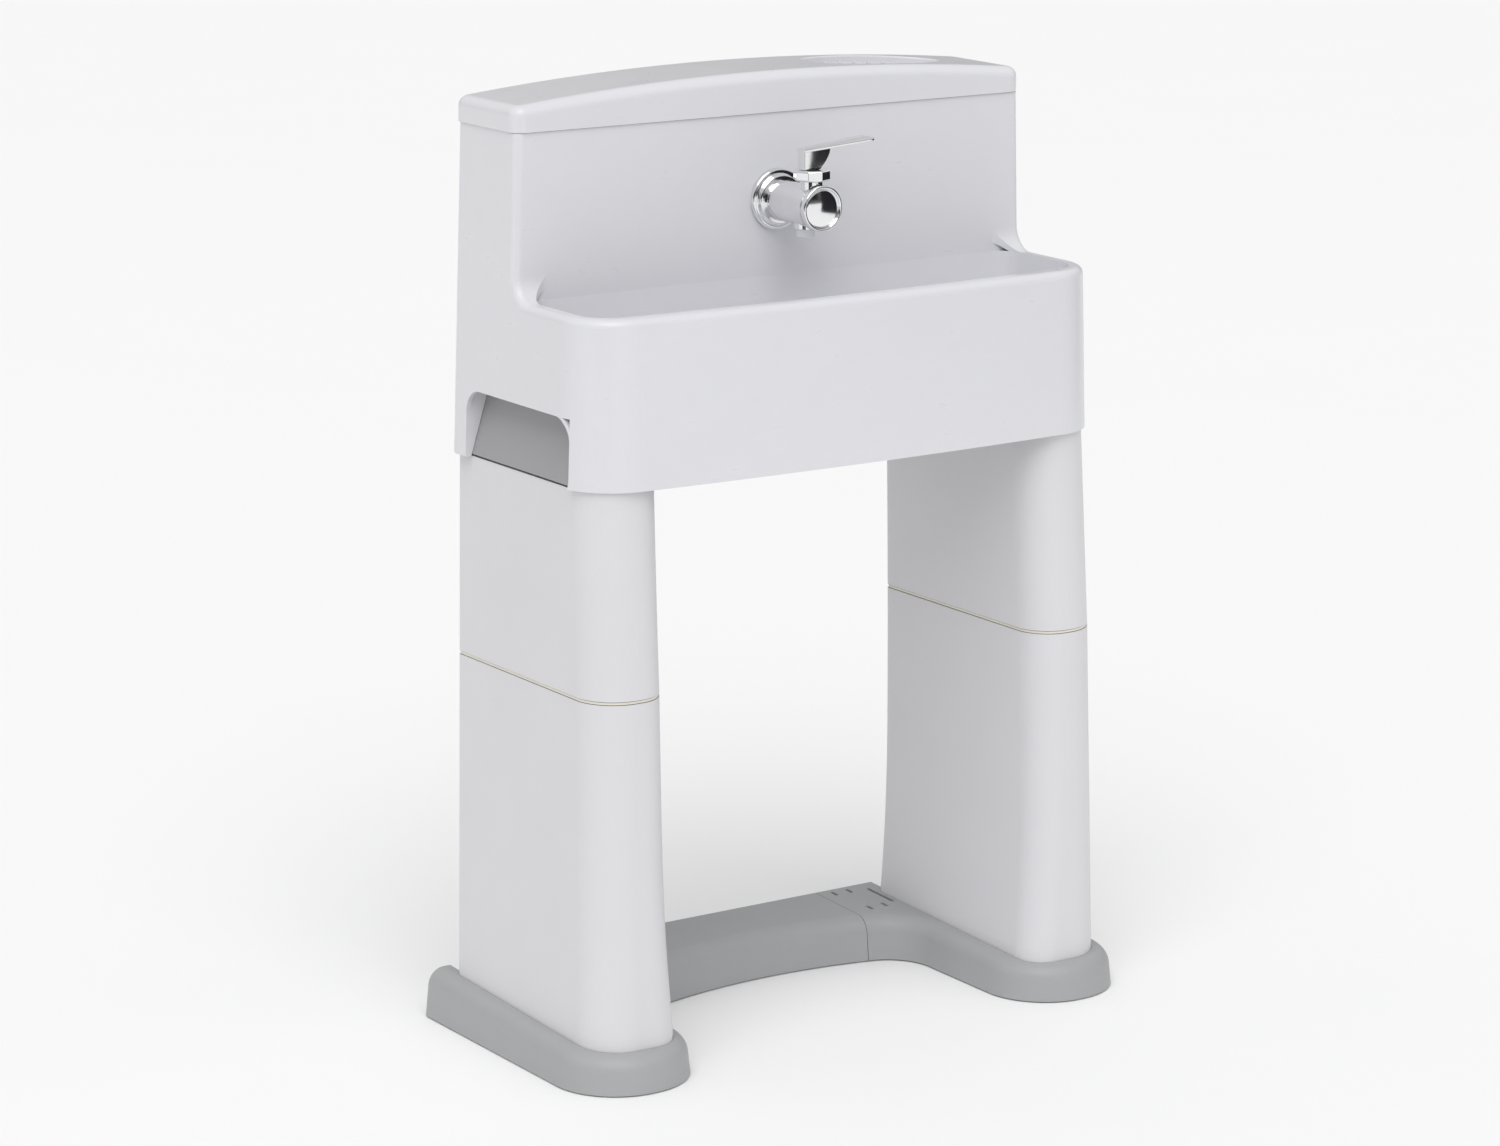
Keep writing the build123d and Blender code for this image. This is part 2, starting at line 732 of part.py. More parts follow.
with BuildPart() as sink_housing:
    add(housing_form.part)
    step_edges = sink_housing.edges().filter_by(
        lambda edge: edge.center().Z > rim_height - 1
        and edge.center().Z < lid_seam_height - 1
        and edge.center().Y < riser_front_y + 1
        and (abs(edge.center().X) > riser_half - 1 or edge.center().Y < -riser_front_y)
    )
    fillet(step_edges, riser_edge_radius)
    add(housing_cavity.part, mode=Mode.SUBTRACT)
    add(bowl_shell.part)
    add(riser_foot.part)
    add(bowl_space.part, mode=Mode.SUBTRACT)
    extrude(arch_profile(0), amount=base_width, both=True, mode=Mode.SUBTRACT)
    add(grip_return.part)
    add(mirror(grip_return.part, about=Plane.YZ, mode=Mode.PRIVATE))
    add(seat_ribs.part)
    with BuildSketch(tap_plane.offset(-overlap)):
        Circle(tap_shank_radius + tap_shank_hole_gap)
    extrude(amount=housing_wall + 2, mode=Mode.SUBTRACT)
    with BuildSketch(Plane.XY.offset(bowl_floor_height + 1)):
        with Locations((0, drain_y)):
            Circle(drain_radius + slide_gap)
    extrude(amount=-housing_wall - 2, mode=Mode.SUBTRACT)
sink_housing.part.label = "sink_housing"
export_step(sink_housing.part, "parts/sink_housing.step")

# ---- waste tub under the bowl ---------------------------------------------------------------
tub_inset = housing_wall + tub_rim_gap
tub_body_inset = tub_inset + tub_flange
with BuildPart() as tub_fit:
    extrude(
        housing_outline(
            tub_bottom,
            housing_wall + 1.2,
            housing_front_radius - housing_wall,
            housing_rear_radius - housing_wall,
        ),
        amount=tub_height,
    )

with BuildPart() as grip_panel:
    with BuildSketch(Plane.XZ):
        with BuildLine():
            Polyline(
                (grip_bottom_x, tub_bottom),
                (grip_top_x, tub_top),
                (grip_top_x - tub_flange, tub_top),
                (grip_top_x - tub_flange, tub_top - grip_wall),
                (grip_top_x - grip_wall, tub_top - grip_wall),
                (grip_bottom_x - grip_wall, tub_bottom),
                close=True,
            )
        make_face()
    extrude(amount=base_depth, both=True)
    with BuildSketch(Plane.XY.offset(tub_bottom)):
        with Locations((grip_bottom_x, (arch_front_y + arch_rear_y) / 2)):
            Rectangle(base_width / 4, arch_length + 6 * arch_return_wall)
    extrude(amount=tub_height, mode=Mode.INTERSECT)
    add(tub_fit.part, mode=Mode.INTERSECT)

tub_wall_x = grip_top_x - tub_flange
with BuildPart() as waste_tub:
    tub_rear_y = housing_rear_y - tub_body_inset
    tub_front_y = housing_front_y + tub_body_inset
    tub_mid_y = (tub_front_y + tub_rear_y) / 2
    with BuildSketch(Plane.XY.offset(tub_bottom)):
        with Locations((0, tub_mid_y)):
            RectangleRounded(2 * tub_wall_x, tub_rear_y - tub_front_y, tub_corner_radius)
    extrude(amount=tub_height)
    with BuildSketch(Plane.XY.offset(tub_top - tub_wall)):
        with Locations((0, tub_mid_y)):
            RectangleRounded(
                2 * grip_top_x, tub_rear_y - tub_front_y + 2 * tub_flange, tub_corner_radius
            )
    extrude(amount=tub_wall)
    with BuildSketch(Plane.XY.offset(tub_bottom + tub_wall)):
        with Locations((0, tub_mid_y)):
            RectangleRounded(
                2 * (tub_wall_x - tub_wall),
                tub_rear_y - tub_front_y - 2 * tub_wall,
                tub_corner_radius - tub_wall,
            )
    extrude(amount=tub_height, mode=Mode.SUBTRACT)
    with BuildSketch(Plane.XY.offset(tub_bottom)):
        with Locations((-boss_x, boss_y), (boss_x, boss_y)):
            RectangleRounded(
                boss_width + 2 * (slide_gap + tub_wall),
                boss_depth + 2 * (slide_gap + tub_wall),
                boss_corner_radius + tub_wall,
            )
    extrude(amount=boss_height + slide_gap + tub_wall)
    with BuildSketch(Plane.XY.offset(tub_bottom - 1)):
        with Locations((-boss_x, boss_y), (boss_x, boss_y)):
            RectangleRounded(
                boss_width + 2 * slide_gap, boss_depth + 2 * slide_gap, boss_corner_radius
            )
    extrude(amount=boss_height + slide_gap + 1, mode=Mode.SUBTRACT)
    add(grip_panel.part)
    add(mirror(grip_panel.part, about=Plane.YZ, mode=Mode.PRIVATE))
waste_tub.part.label = "waste_tub"
export_step(waste_tub.part, "parts/waste_tub.step")

# ---- water tank inside the riser ------------------------------------------------------------
tank_depth = tank_rear_y - tank_front_y
tank_mid_y = (tank_rear_y + tank_front_y) / 2
flange_rear_y = riser_rear_y - housing_wall - slide_gap
flange_front_y = riser_front_y + housing_wall + slide_gap
with BuildPart() as water_tank:
    with BuildSketch(Plane.XY.offset(shelf_top)):
        with Locations((0, tank_mid_y)):
            RectangleRounded(2 * tank_half, tank_depth, tank_corner_radius)
    extrude(amount=tank_top - shelf_top)
    with BuildSketch(Plane.XY.offset(tank_top - tank_flange)):
        with Locations((0, (flange_rear_y + flange_front_y) / 2)):
            RectangleRounded(
                2 * (riser_half - housing_wall - slide_gap),
                flange_rear_y - flange_front_y,
                riser_edge_radius,
            )
    extrude(amount=tank_flange)
    with BuildSketch(Plane.XY.offset(shelf_top + tank_wall)):
        with Locations((0, tank_mid_y)):
            RectangleRounded(
                2 * (tank_half - tank_wall),
                tank_depth - 2 * tank_wall,
                tank_corner_radius - tank_wall,
            )
    extrude(amount=tank_top - shelf_top, mode=Mode.SUBTRACT)
    floor_edges = water_tank.edges().filter_by_position(
        Axis.Z, shelf_top + tank_wall - 0.1, shelf_top + tank_wall + 0.1
    )
    fillet(floor_edges, tank_floor_radius)
    with BuildSketch(tap_plane.offset(tank_front_y - riser_front_y - 1)):
        Circle(tap_shank_radius + tap_shank_hole_gap)
    extrude(amount=tank_wall + 2, mode=Mode.SUBTRACT)
water_tank.part.label = "water_tank"
export_step(water_tank.part, "parts/water_tank.step")

# ---- lid, with its dish and its seal ---------------------------------------------------------
lip_half = tank_half - tank_wall - lip_gap
lip_size_y = tank_depth - 2 * (tank_wall + lip_gap)
lip_radius = tank_corner_radius - tank_wall - lip_gap
lip_bottom = lid_seam_height - lip_depth
seal_bottom = lip_bottom + 2.0
lid_rise = 2 * lid_crown_rise
with BuildPart() as lid_hollow:
    extrude(riser_outline(lid_bottom, lid_wall, lid_corner_radius - lid_wall), amount=lid_rise)
    extrude(crown_profile(lid_bottom, lid_wall), amount=base_depth, both=True, mode=Mode.INTERSECT)
    fillet(lid_hollow.faces().sort_by(Axis.Z)[-1].edges(), lid_edge_radius - lid_wall)

with BuildPart() as lid_lip:
    with BuildSketch(Plane.XY.offset(lip_bottom)):
        with Locations((0, tank_mid_y)):
            RectangleRounded(2 * lip_half, lip_size_y, lip_radius)
            RectangleRounded(
                2 * (lip_half - lip_wall),
                lip_size_y - 2 * lip_wall,
                lip_radius - lip_wall,
                mode=Mode.SUBTRACT,
            )
    extrude(amount=lid_rise)
    extrude(
        crown_profile(lip_bottom, lid_wall / 2), amount=base_depth, both=True, mode=Mode.INTERSECT
    )
    with BuildSketch(Plane.XY.offset(seal_bottom)):
        with Locations((0, tank_mid_y)):
            RectangleRounded(3 * lip_half, 3 * lip_size_y, lip_radius)
            RectangleRounded(
                2 * (lip_half - seal_groove),
                lip_size_y - 2 * seal_groove,
                lip_radius - seal_groove,
                mode=Mode.SUBTRACT,
            )
    extrude(amount=seal_height, mode=Mode.SUBTRACT)


with BuildPart() as dish_body:
    with BuildSketch(Plane.XY.offset(lid_bottom)):
        with Locations((dish_x, dish_y)):
            Ellipse(dish_half_length + dish_wall, dish_half_width + dish_wall)
    extrude(amount=lid_rise)
    extrude(
        crown_profile(lid_bottom, lid_wall / 2), amount=base_depth, both=True, mode=Mode.INTERSECT
    )
    extrude(
        crown_profile(lid_bottom, dish_depth + lid_wall),
        amount=base_depth,
        both=True,
        mode=Mode.SUBTRACT,
    )

with BuildPart() as dish_space:
    with BuildSketch(Plane.XY.offset(lid_bottom)):
        with Locations((dish_x, dish_y)):
            Ellipse(dish_half_length, dish_half_width)
    extrude(amount=lid_rise)
    extrude(crown_profile(lid_bottom, dish_depth), amount=base_depth, both=True, mode=Mode.SUBTRACT)

with BuildPart() as dish_ribs:
    with BuildSketch(Plane.XY.offset(lid_bottom)):
        with Locations((dish_x, dish_y)):
            with GridLocations(dish_rib_pitch, 0, dish_rib_count, 1):
                Rectangle(dish_rib_width, 4 * dish_half_width, rotation=-dish_rib_angle)
            Ellipse(
                dish_half_length - dish_rib_inset,
                dish_half_width - dish_rib_inset,
                mode=Mode.INTERSECT,
            )
    extrude(amount=lid_rise)
    extrude(
        crown_profile(lid_bottom, dish_depth - dish_rib_height),
        amount=base_depth,
        both=True,
        mode=Mode.INTERSECT,
    )
    extrude(
        crown_profile(lid_bottom, dish_depth + lid_wall / 2),
        amount=base_depth,
        both=True,
        mode=Mode.SUBTRACT,
    )

with BuildPart() as tank_lid:
    extrude(riser_outline(lid_bottom, -lid_overhang, lid_corner_radius), amount=lid_rise)
    extrude(crown_profile(lid_bottom, 0), amount=base_depth, both=True, mode=Mode.INTERSECT)
    fillet(tank_lid.faces().sort_by(Axis.Z)[-1].edges(), lid_edge_radius)
    add(lid_hollow.part, mode=Mode.SUBTRACT)
    add(lid_lip.part)
    add(dish_body.part)
    add(dish_space.part, mode=Mode.SUBTRACT)
    add(dish_ribs.part)
    dish_loops = tank_lid.edges().filter_by(
        lambda edge: abs(edge.bounding_box().size.X - 2 * dish_half_length) < overlap
    )
    fillet(dish_loops.sort_by(Axis.Z)[-1], dish_rim_radius)
tank_lid.part.label = "tank_lid"
export_step(tank_lid.part, "parts/tank_lid.step")

with BuildPart() as lid_seal:
    with BuildSketch(Plane.XY.offset(seal_bottom)):
        with Locations((0, tank_mid_y)):
            RectangleRounded(
                2 * (lip_half + seal_proud), lip_size_y + 2 * seal_proud, lip_radius + seal_proud
            )
            RectangleRounded(
                2 * (lip_half - seal_groove),
                lip_size_y - 2 * seal_groove,
                lip_radius - seal_groove,
                mode=Mode.SUBTRACT,
            )
    extrude(amount=seal_height)
lid_seal.part.label = "lid_seal"
export_step(lid_seal.part, "parts/lid_seal.step")

# ---- tap -----------------------------------------------------------------------------------
flange_front_y = riser_front_y - tap_flange_thickness
step_front_y = flange_front_y - tap_flange_step
with BuildPart() as tap_flange:
    with BuildSketch(tap_plane):
        Circle(tap_flange_radius)
    extrude(amount=-tap_flange_thickness)
    fillet(tap_flange.edges().group_by(Axis.Y)[0], tap_flange_thickness / 2)
    with BuildSketch(tap_plane.offset(-tap_flange_thickness)):
        Circle(tap_flange_step_radius)
    extrude(amount=-tap_flange_step)
    fillet(tap_flange.edges().group_by(Axis.Y)[0], tap_flange_step / 2)
    with BuildSketch(tap_plane.offset(overlap)):
        Circle(tap_shank_radius + running_gap)
    extrude(amount=-tap_flange_thickness - tap_flange_step - 2 * overlap, mode=Mode.SUBTRACT)
    with BuildSketch(tap_plane):
        Circle(gasket_radius + slide_gap)
    extrude(amount=-gasket_thickness, mode=Mode.SUBTRACT)
tap_flange.part.label = "tap_flange"
export_step(tap_flange.part, "parts/tap_flange.step")

barrel_plane = tap_plane.offset(step_front_y - riser_front_y)
valve_plane = Plane.XY.offset(tap_height)
cap_plane = tap_plane.offset(barrel_front_y - riser_front_y)
cap_recess_radius = tap_barrel_radius - tap_cap_land
spout_top = tap_height - tap_barrel_radius + tap_socket_depth
with BuildPart() as tap_body:
    with BuildSketch(barrel_plane):
        Circle(tap_barrel_radius)
    extrude(amount=barrel_front_y - step_front_y)
    with BuildSketch(barrel_plane):
        Circle(tap_shank_radius)
    extrude(amount=shank_end_y - step_front_y)
    with BuildSketch(valve_plane):
        with Locations((0, valve_y)):
            Circle(tap_neck_radius)
    extrude(amount=collar_bottom - tap_height)
    with BuildSketch(valve_plane):
        with Locations((0, spout_y)):
            Circle(spout_radius + tap_boss_wall)
    extrude(amount=-tap_barrel_radius - tap_boss_drop)
    with BuildSketch(valve_plane.offset(-chamber_drop)):
        with Locations((0, valve_y)):
            Circle(stem_radius + running_gap)
    extrude(amount=chamber_drop + tap_barrel_radius + overrun, mode=Mode.SUBTRACT)
    with BuildSketch(tap_plane.offset(shank_end_y - riser_front_y + overlap)):
        Circle(tap_bore_radius)
    extrude(amount=valve_y + stem_radius - shank_end_y - overlap, mode=Mode.SUBTRACT)
    with BuildSketch(valve_plane.offset(-stem_foot_drop)):
        with Locations((0, spout_y)):
            Circle(tap_outlet_radius)
    extrude(amount=-tap_barrel_radius, mode=Mode.SUBTRACT)
    with BuildSketch(Plane.XY.offset(spout_top)):
        with Locations((0, spout_y)):
            Circle(spout_radius + running_gap)
    extrude(amount=-tap_barrel_radius, mode=Mode.SUBTRACT)
    with BuildSketch(cap_plane):
        Circle(cap_recess_radius)
    extrude(amount=tap_cap_spigot + tap_cap_recess_gap, mode=Mode.SUBTRACT)
tap_body.part.label = "tap_body"
export_step(tap_body.part, "parts/tap_body.step")

with BuildPart() as tap_end_cap:
    with BuildSketch(cap_plane):
        Circle(tap_cap_radius)
    extrude(amount=-tap_cap_length)
    fillet(tap_end_cap.edges().group_by(Axis.Y)[0], tap_cap_length / 2)
    with BuildSketch(cap_plane):
        Circle(cap_recess_radius - running_gap)
    extrude(amount=tap_cap_spigot)
tap_end_cap.part.label = "tap_end_cap"
export_step(tap_end_cap.part, "parts/tap_end_cap.step")

with BuildPart() as tap_spout:
    with BuildSketch(Plane.XY.offset(spout_top)):
        with Locations((0, spout_y)):
            Circle(spout_radius)
            Circle(spout_bore_radius, mode=Mode.SUBTRACT)
    extrude(amount=-tap_socket_depth - spout_drop)
    chamfer(tap_spout.edges().group_by(Axis.Z)[0], tap_collar_chamfer)
tap_spout.part.label = "tap_spout"
export_step(tap_spout.part, "parts/tap_spout.step")

with BuildPart() as tap_collar:
    with BuildSketch(Plane.XY.offset(collar_bottom)):
        with Locations((0, valve_y)):
            RegularPolygon(tap_collar_radius, tap_collar_sides)
            Circle(stem_radius + running_gap, mode=Mode.SUBTRACT)
    extrude(amount=tap_collar_height)
    polygon_edges = tap_collar.edges().filter_by(GeomType.LINE).filter_by(Plane.XY)
    chamfer(polygon_edges, tap_collar_chamfer)
tap_collar.part.label = "tap_collar"
export_step(tap_collar.part, "parts/tap_collar.step")

oring_height = collar_bottom - 3 * oring_section
with BuildPart() as tap_stem:
    with BuildSketch(valve_plane.offset(-stem_foot_drop)):
        with Locations((0, valve_y)):
            Circle(stem_radius)
    extrude(amount=collar_top - tap_height + stem_foot_drop)
    with BuildSketch(Plane.XY.offset(collar_top)):
        with Locations((0, valve_y)):
            Circle(stem_tip_radius)
    extrude(amount=stem_tip_length)
    with BuildSketch(valve_plane.offset(-stem_foot_drop)):
        with Locations((0, valve_y)):
            Circle(tap_port_radius)
    extrude(amount=stem_foot_drop, mode=Mode.SUBTRACT)
    with BuildSketch(Plane.YZ):
        with Locations((valve_y, tap_height)):
            Circle(tap_port_radius)
    extrude(amount=-stem_radius - overlap, mode=Mode.SUBTRACT)
    with BuildSketch(Plane.XY.offset(oring_height)):
        with Locations((0, valve_y)):
            Circle(2 * stem_radius)
            Circle(stem_radius - oring_section, mode=Mode.SUBTRACT)
    extrude(amount=2 * oring_section, mode=Mode.SUBTRACT)
tap_stem.part.label = "tap_stem"
export_step(tap_stem.part, "parts/tap_stem.step")

with BuildPart() as stem_oring:
    with BuildSketch(Plane.XY.offset(oring_height)):
        with Locations((0, valve_y)):
            Circle(stem_radius)
            Circle(stem_radius - oring_section, mode=Mode.SUBTRACT)
    extrude(amount=2 * oring_section)
stem_oring.part.label = "stem_oring"
export_step(stem_oring.part, "parts/stem_oring.step")

lever_bottom = collar_top + slide_gap
lever_top = lever_bottom + lever_web_height
blade_end_rise = lever_top + lever_blade_rise
with BuildPart() as lever_blade:
    with BuildSketch(Plane.XZ.offset(-valve_y)):
        with BuildLine():
            Polyline(
                (-lever_heel, lever_top - lever_blade_thickness),
                (lever_blade_length, blade_end_rise - lever_blade_thickness),
                (lever_blade_length, blade_end_rise),
                (-lever_heel, lever_top),
                close=True,
            )
        make_face()
    extrude(amount=lever_blade_tip_width, both=True)
    with BuildSketch(Plane.XY.offset(lever_bottom)):
        with BuildLine():
            Polyline(
                (-lever_heel, valve_y - lever_web_width / 2),
                (lever_blade_length, valve_y - lever_blade_tip_width / 2),
                (lever_blade_length, valve_y + lever_blade_tip_width / 2),
                (-lever_heel, valve_y + lever_web_width / 2),
                close=True,
            )
        make_face()
    extrude(amount=2 * lever_web_height, mode=Mode.INTERSECT)
    fillet(lever_blade.edges().filter_by(Axis.Z).group_by(Axis.X)[-1], lever_tip_radius)

with BuildPart() as tap_lever:
    with BuildSketch(Plane.XZ.offset(-valve_y - lever_web_width / 2)):
        with BuildLine():
            Polyline(
                (-lever_heel, lever_bottom),
                (lever_web_bottom, lever_bottom),
                (lever_web_top, lever_top),
                (-lever_heel, lever_top),
                close=True,
            )
        make_face()
    extrude(amount=lever_web_width)
    web_end = tap_lever.faces().sort_by(Axis.X)[-1]
    chamfer(web_end.edges().filter_by(Plane.XZ), lever_web_chamfer)
    add(lever_blade.part)
    with BuildSketch(Plane.XY.offset(lever_bottom)):
        with Locations((0, valve_y)):
            Circle(stem_tip_radius + running_gap)
    extrude(amount=stem_tip_length, mode=Mode.SUBTRACT)
tap_lever.part.label = "tap_lever"
export_step(tap_lever.part, "parts/tap_lever.step")

with BuildPart() as tap_gasket_outer:
    with BuildSketch(tap_plane):
        Circle(gasket_radius)
        Circle(tap_shank_radius + running_gap, mode=Mode.SUBTRACT)
    extrude(amount=-gasket_thickness)
tap_gasket_outer.part.label = "tap_gasket_outer"
export_step(tap_gasket_outer.part, "parts/tap_gasket_outer.step")

with BuildPart() as tap_gasket_inner:
    with BuildSketch(tap_plane.offset(housing_wall)):
        Circle(gasket_radius)
        Circle(tap_shank_radius + running_gap, mode=Mode.SUBTRACT)
    extrude(amount=tank_front_gap)
tap_gasket_inner.part.label = "tap_gasket_inner"
export_step(tap_gasket_inner.part, "parts/tap_gasket_inner.step")

with BuildPart() as tap_shank_nut:
    with BuildSketch(tap_plane.offset(housing_wall + tank_front_gap + tank_wall)):
        RegularPolygon(nut_width / 2, 6, major_radius=False)
        Circle(tap_shank_radius + running_gap, mode=Mode.SUBTRACT)
    extrude(amount=nut_thickness)
tap_shank_nut.part.label = "tap_shank_nut"
export_step(tap_shank_nut.part, "parts/tap_shank_nut.step")

# ---- drain ---------------------------------------------------------------------------------
ledge_height = bowl_floor_height + drain_flange_thickness - drain_ledge_drop
under_floor = bowl_floor_height - housing_wall
with BuildPart() as drain_body:
    with BuildSketch(Plane.XY.offset(bowl_floor_height)):
        with Locations((0, drain_y)):
            Circle(drain_flange_radius)
    extrude(amount=drain_flange_thickness)
    fillet(drain_body.edges().group_by(Axis.Z)[-1], drain_flange_thickness / 2)
    with BuildSketch(Plane.XY.offset(bowl_floor_height)):
        with Locations((0, drain_y)):
            Circle(drain_radius)
    extrude(amount=-drain_length)
    with BuildSketch(Plane.XY.offset(bowl_floor_height + drain_flange_thickness)):
        with Locations((0, drain_y)):
            Circle(drain_radius - drain_wall)
    extrude(amount=-drain_ledge_drop, mode=Mode.SUBTRACT)
    with BuildSketch(Plane.XY.offset(ledge_height)):
        with Locations((0, drain_y)):
            Circle(drain_radius - drain_wall - drain_ledge_width)
    extrude(amount=-drain_length, mode=Mode.SUBTRACT)
drain_body.part.label = "drain_body"
export_step(drain_body.part, "parts/drain_body.step")

with BuildPart() as drain_gasket:
    with BuildSketch(Plane.XY.offset(under_floor)):
        with Locations((0, drain_y)):
            Circle(drain_flange_radius)
            Circle(drain_radius + running_gap, mode=Mode.SUBTRACT)
    extrude(amount=-drain_gasket_thickness)
drain_gasket.part.label = "drain_gasket"
export_step(drain_gasket.part, "parts/drain_gasket.step")

with BuildPart() as drain_nut:
    with BuildSketch(Plane.XY.offset(under_floor - drain_gasket_thickness)):
        with Locations((0, drain_y)):
            RegularPolygon(drain_nut_width / 2, 6, major_radius=False)
            Circle(drain_radius + running_gap, mode=Mode.SUBTRACT)
    extrude(amount=-drain_nut_thickness)
drain_nut.part.label = "drain_nut"
export_step(drain_nut.part, "parts/drain_nut.step")

strainer_radius = drain_radius - drain_wall - slide_gap
with BuildPart() as drain_strainer:
    with BuildSketch(Plane.XY.offset(ledge_height)):
        with Locations((0, drain_y)):
            Circle(strainer_radius)
            with PolarLocations(strainer_inner_circle, strainer_inner_holes):
                Circle(strainer_hole_radius, mode=Mode.SUBTRACT)
            with PolarLocations(strainer_outer_circle, strainer_outer_holes):
                Circle(strainer_hole_radius, mode=Mode.SUBTRACT)
    extrude(amount=strainer_thickness)
    with BuildSketch(Plane.XY.offset(ledge_height)):
        with Locations((0, drain_y)):
            Circle(strainer_knob_radius)
    extrude(amount=strainer_knob_height)
    fillet(drain_strainer.edges().group_by(Axis.Z)[-1], strainer_knob_rounding)
drain_strainer.part.label = "drain_strainer"
export_step(drain_strainer.part, "parts/drain_strainer.step")
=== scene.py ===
"""The finished looks of a portable handwash sink, laid over its jointed frame."""
import math

import bpy
import numpy as np
from bpy.props import FloatProperty, FloatVectorProperty, IntProperty, PointerProperty
from mathutils import Matrix, Vector


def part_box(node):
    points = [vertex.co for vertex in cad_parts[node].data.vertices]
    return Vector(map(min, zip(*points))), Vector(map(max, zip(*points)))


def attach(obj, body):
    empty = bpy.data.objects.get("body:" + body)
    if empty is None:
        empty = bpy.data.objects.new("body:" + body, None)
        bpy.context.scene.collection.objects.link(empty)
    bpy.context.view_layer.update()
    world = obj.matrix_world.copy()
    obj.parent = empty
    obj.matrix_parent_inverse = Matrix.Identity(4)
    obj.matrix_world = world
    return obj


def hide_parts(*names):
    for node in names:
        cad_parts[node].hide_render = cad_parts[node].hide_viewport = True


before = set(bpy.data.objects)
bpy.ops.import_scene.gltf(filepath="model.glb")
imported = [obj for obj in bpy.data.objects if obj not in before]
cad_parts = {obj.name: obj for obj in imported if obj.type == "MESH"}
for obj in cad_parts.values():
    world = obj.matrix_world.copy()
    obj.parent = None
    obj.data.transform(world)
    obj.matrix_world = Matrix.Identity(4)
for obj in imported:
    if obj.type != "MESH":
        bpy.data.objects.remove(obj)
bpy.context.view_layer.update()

bl_info = {
    "name": "Portable handwash sink",
    "version": (1, 0, 0),
    "blender": (4, 5, 0),
    "location": "View3D > Sidebar > Handwash",
    "description": "Gives the sink's shell, legs, base and tap their finishes and fine shapes",
    "category": "Object",
}

MM = 0.001

# The studio: grey by height for polished surfaces (0 below, 1 above), the key light, and cards
# given by their lowest and highest corner in metres.
SKY_STOPS = ((0.0, 0.62), (0.47, 0.50), (0.52, 0.10), (0.60, 0.16), (0.70, 0.95), (1.0, 1.0))
KEY_TOWARDS = (0.30, 0.46, -0.84)
KEY_SPREAD = 50.0
DARK_CARDS = (
    ("dark_card_right", (0.75, -1.30, 0.30), (1.25, 0.10, 1.15)),
    ("dark_card_left", (-1.15, -0.55, 0.35), (-0.75, -1.25, 1.05)),
    ("dark_card_front", (-0.35, -1.6, 0.74), (0.75, -1.6, 1.02)),
)

# The tap's fine shapes, in millimetres unless the name says share.
BORE_SHARE = 0.5
FLANGE_CHAMFER = 0.3
FRONT_RING_SHARE = 7 / 15
FRONT_RING_INSET = 4.0
RING_STEP_WIDTH = 0.8
RING_STEP_DEPTH = 0.5
CAP_CHAMFER = 0.4
CAP_BEZEL_LIFT = 0.3
CAP_GROOVE_WIDTH = 0.7
CAP_GROOVE_STEP = 0.3
CAP_GROOVE_DEPTH = 2.4
CAP_DOME_DEPTH = 2.0
CAP_DOME_MIDDLE_SHARE = 0.04
WEB_REACH = 13.4
WEB_SLANT = 7.4
WEB_FOOT_ROUND = 1.2
WEB_HALF_WIDTH = 4.85
WEB_TUCK = 0.3
BLADE_RISE = 5.0
BLADE_START = 0.4
BLADE_HALF_WIDTH = 5.0
BLADE_HALF_GROWTH = 5.0
BLADE_EDGE_SHARE = 0.7
BLADE_TIP_TURN = 0.47 * math.pi

# ---- shader maths ----------------------------------------------------------------------------


class Signal:
    """A shader value that can be added, multiplied and compared like a number."""

    def __init__(self, bench, socket):
        self.bench = bench
        self.socket = socket

    def _math(self, operation, first, second=0.0):
        return self.bench.node("ShaderNodeMath", {"operation": operation}, {0: first, 1: second})

    def __add__(self, other):
        return self._math("ADD", self, other)

    def __sub__(self, other):
        return self._math("SUBTRACT", self, other)

    def __mul__(self, other):
        return self._math("MULTIPLY", self, other)

    def __truediv__(self, other):
        return self._math("DIVIDE", self, other)

    def __radd__(self, other):
        return self._math("ADD", other, self)

    def __rsub__(self, other):
        return self._math("SUBTRACT", other, self)

    def __rmul__(self, other):
        return self._math("MULTIPLY", other, self)

    def __gt__(self, other):
        return self._math("GREATER_THAN", self, other)

    def __abs__(self):
        return self._math("ABSOLUTE", self)

    def clipped(self):
        """The value held between 0 and 1."""
        return self.bench.node(
            "ShaderNodeMath", {"operation": "ADD", "use_clamp": True}, {0: self, 1: 0.0}
        )


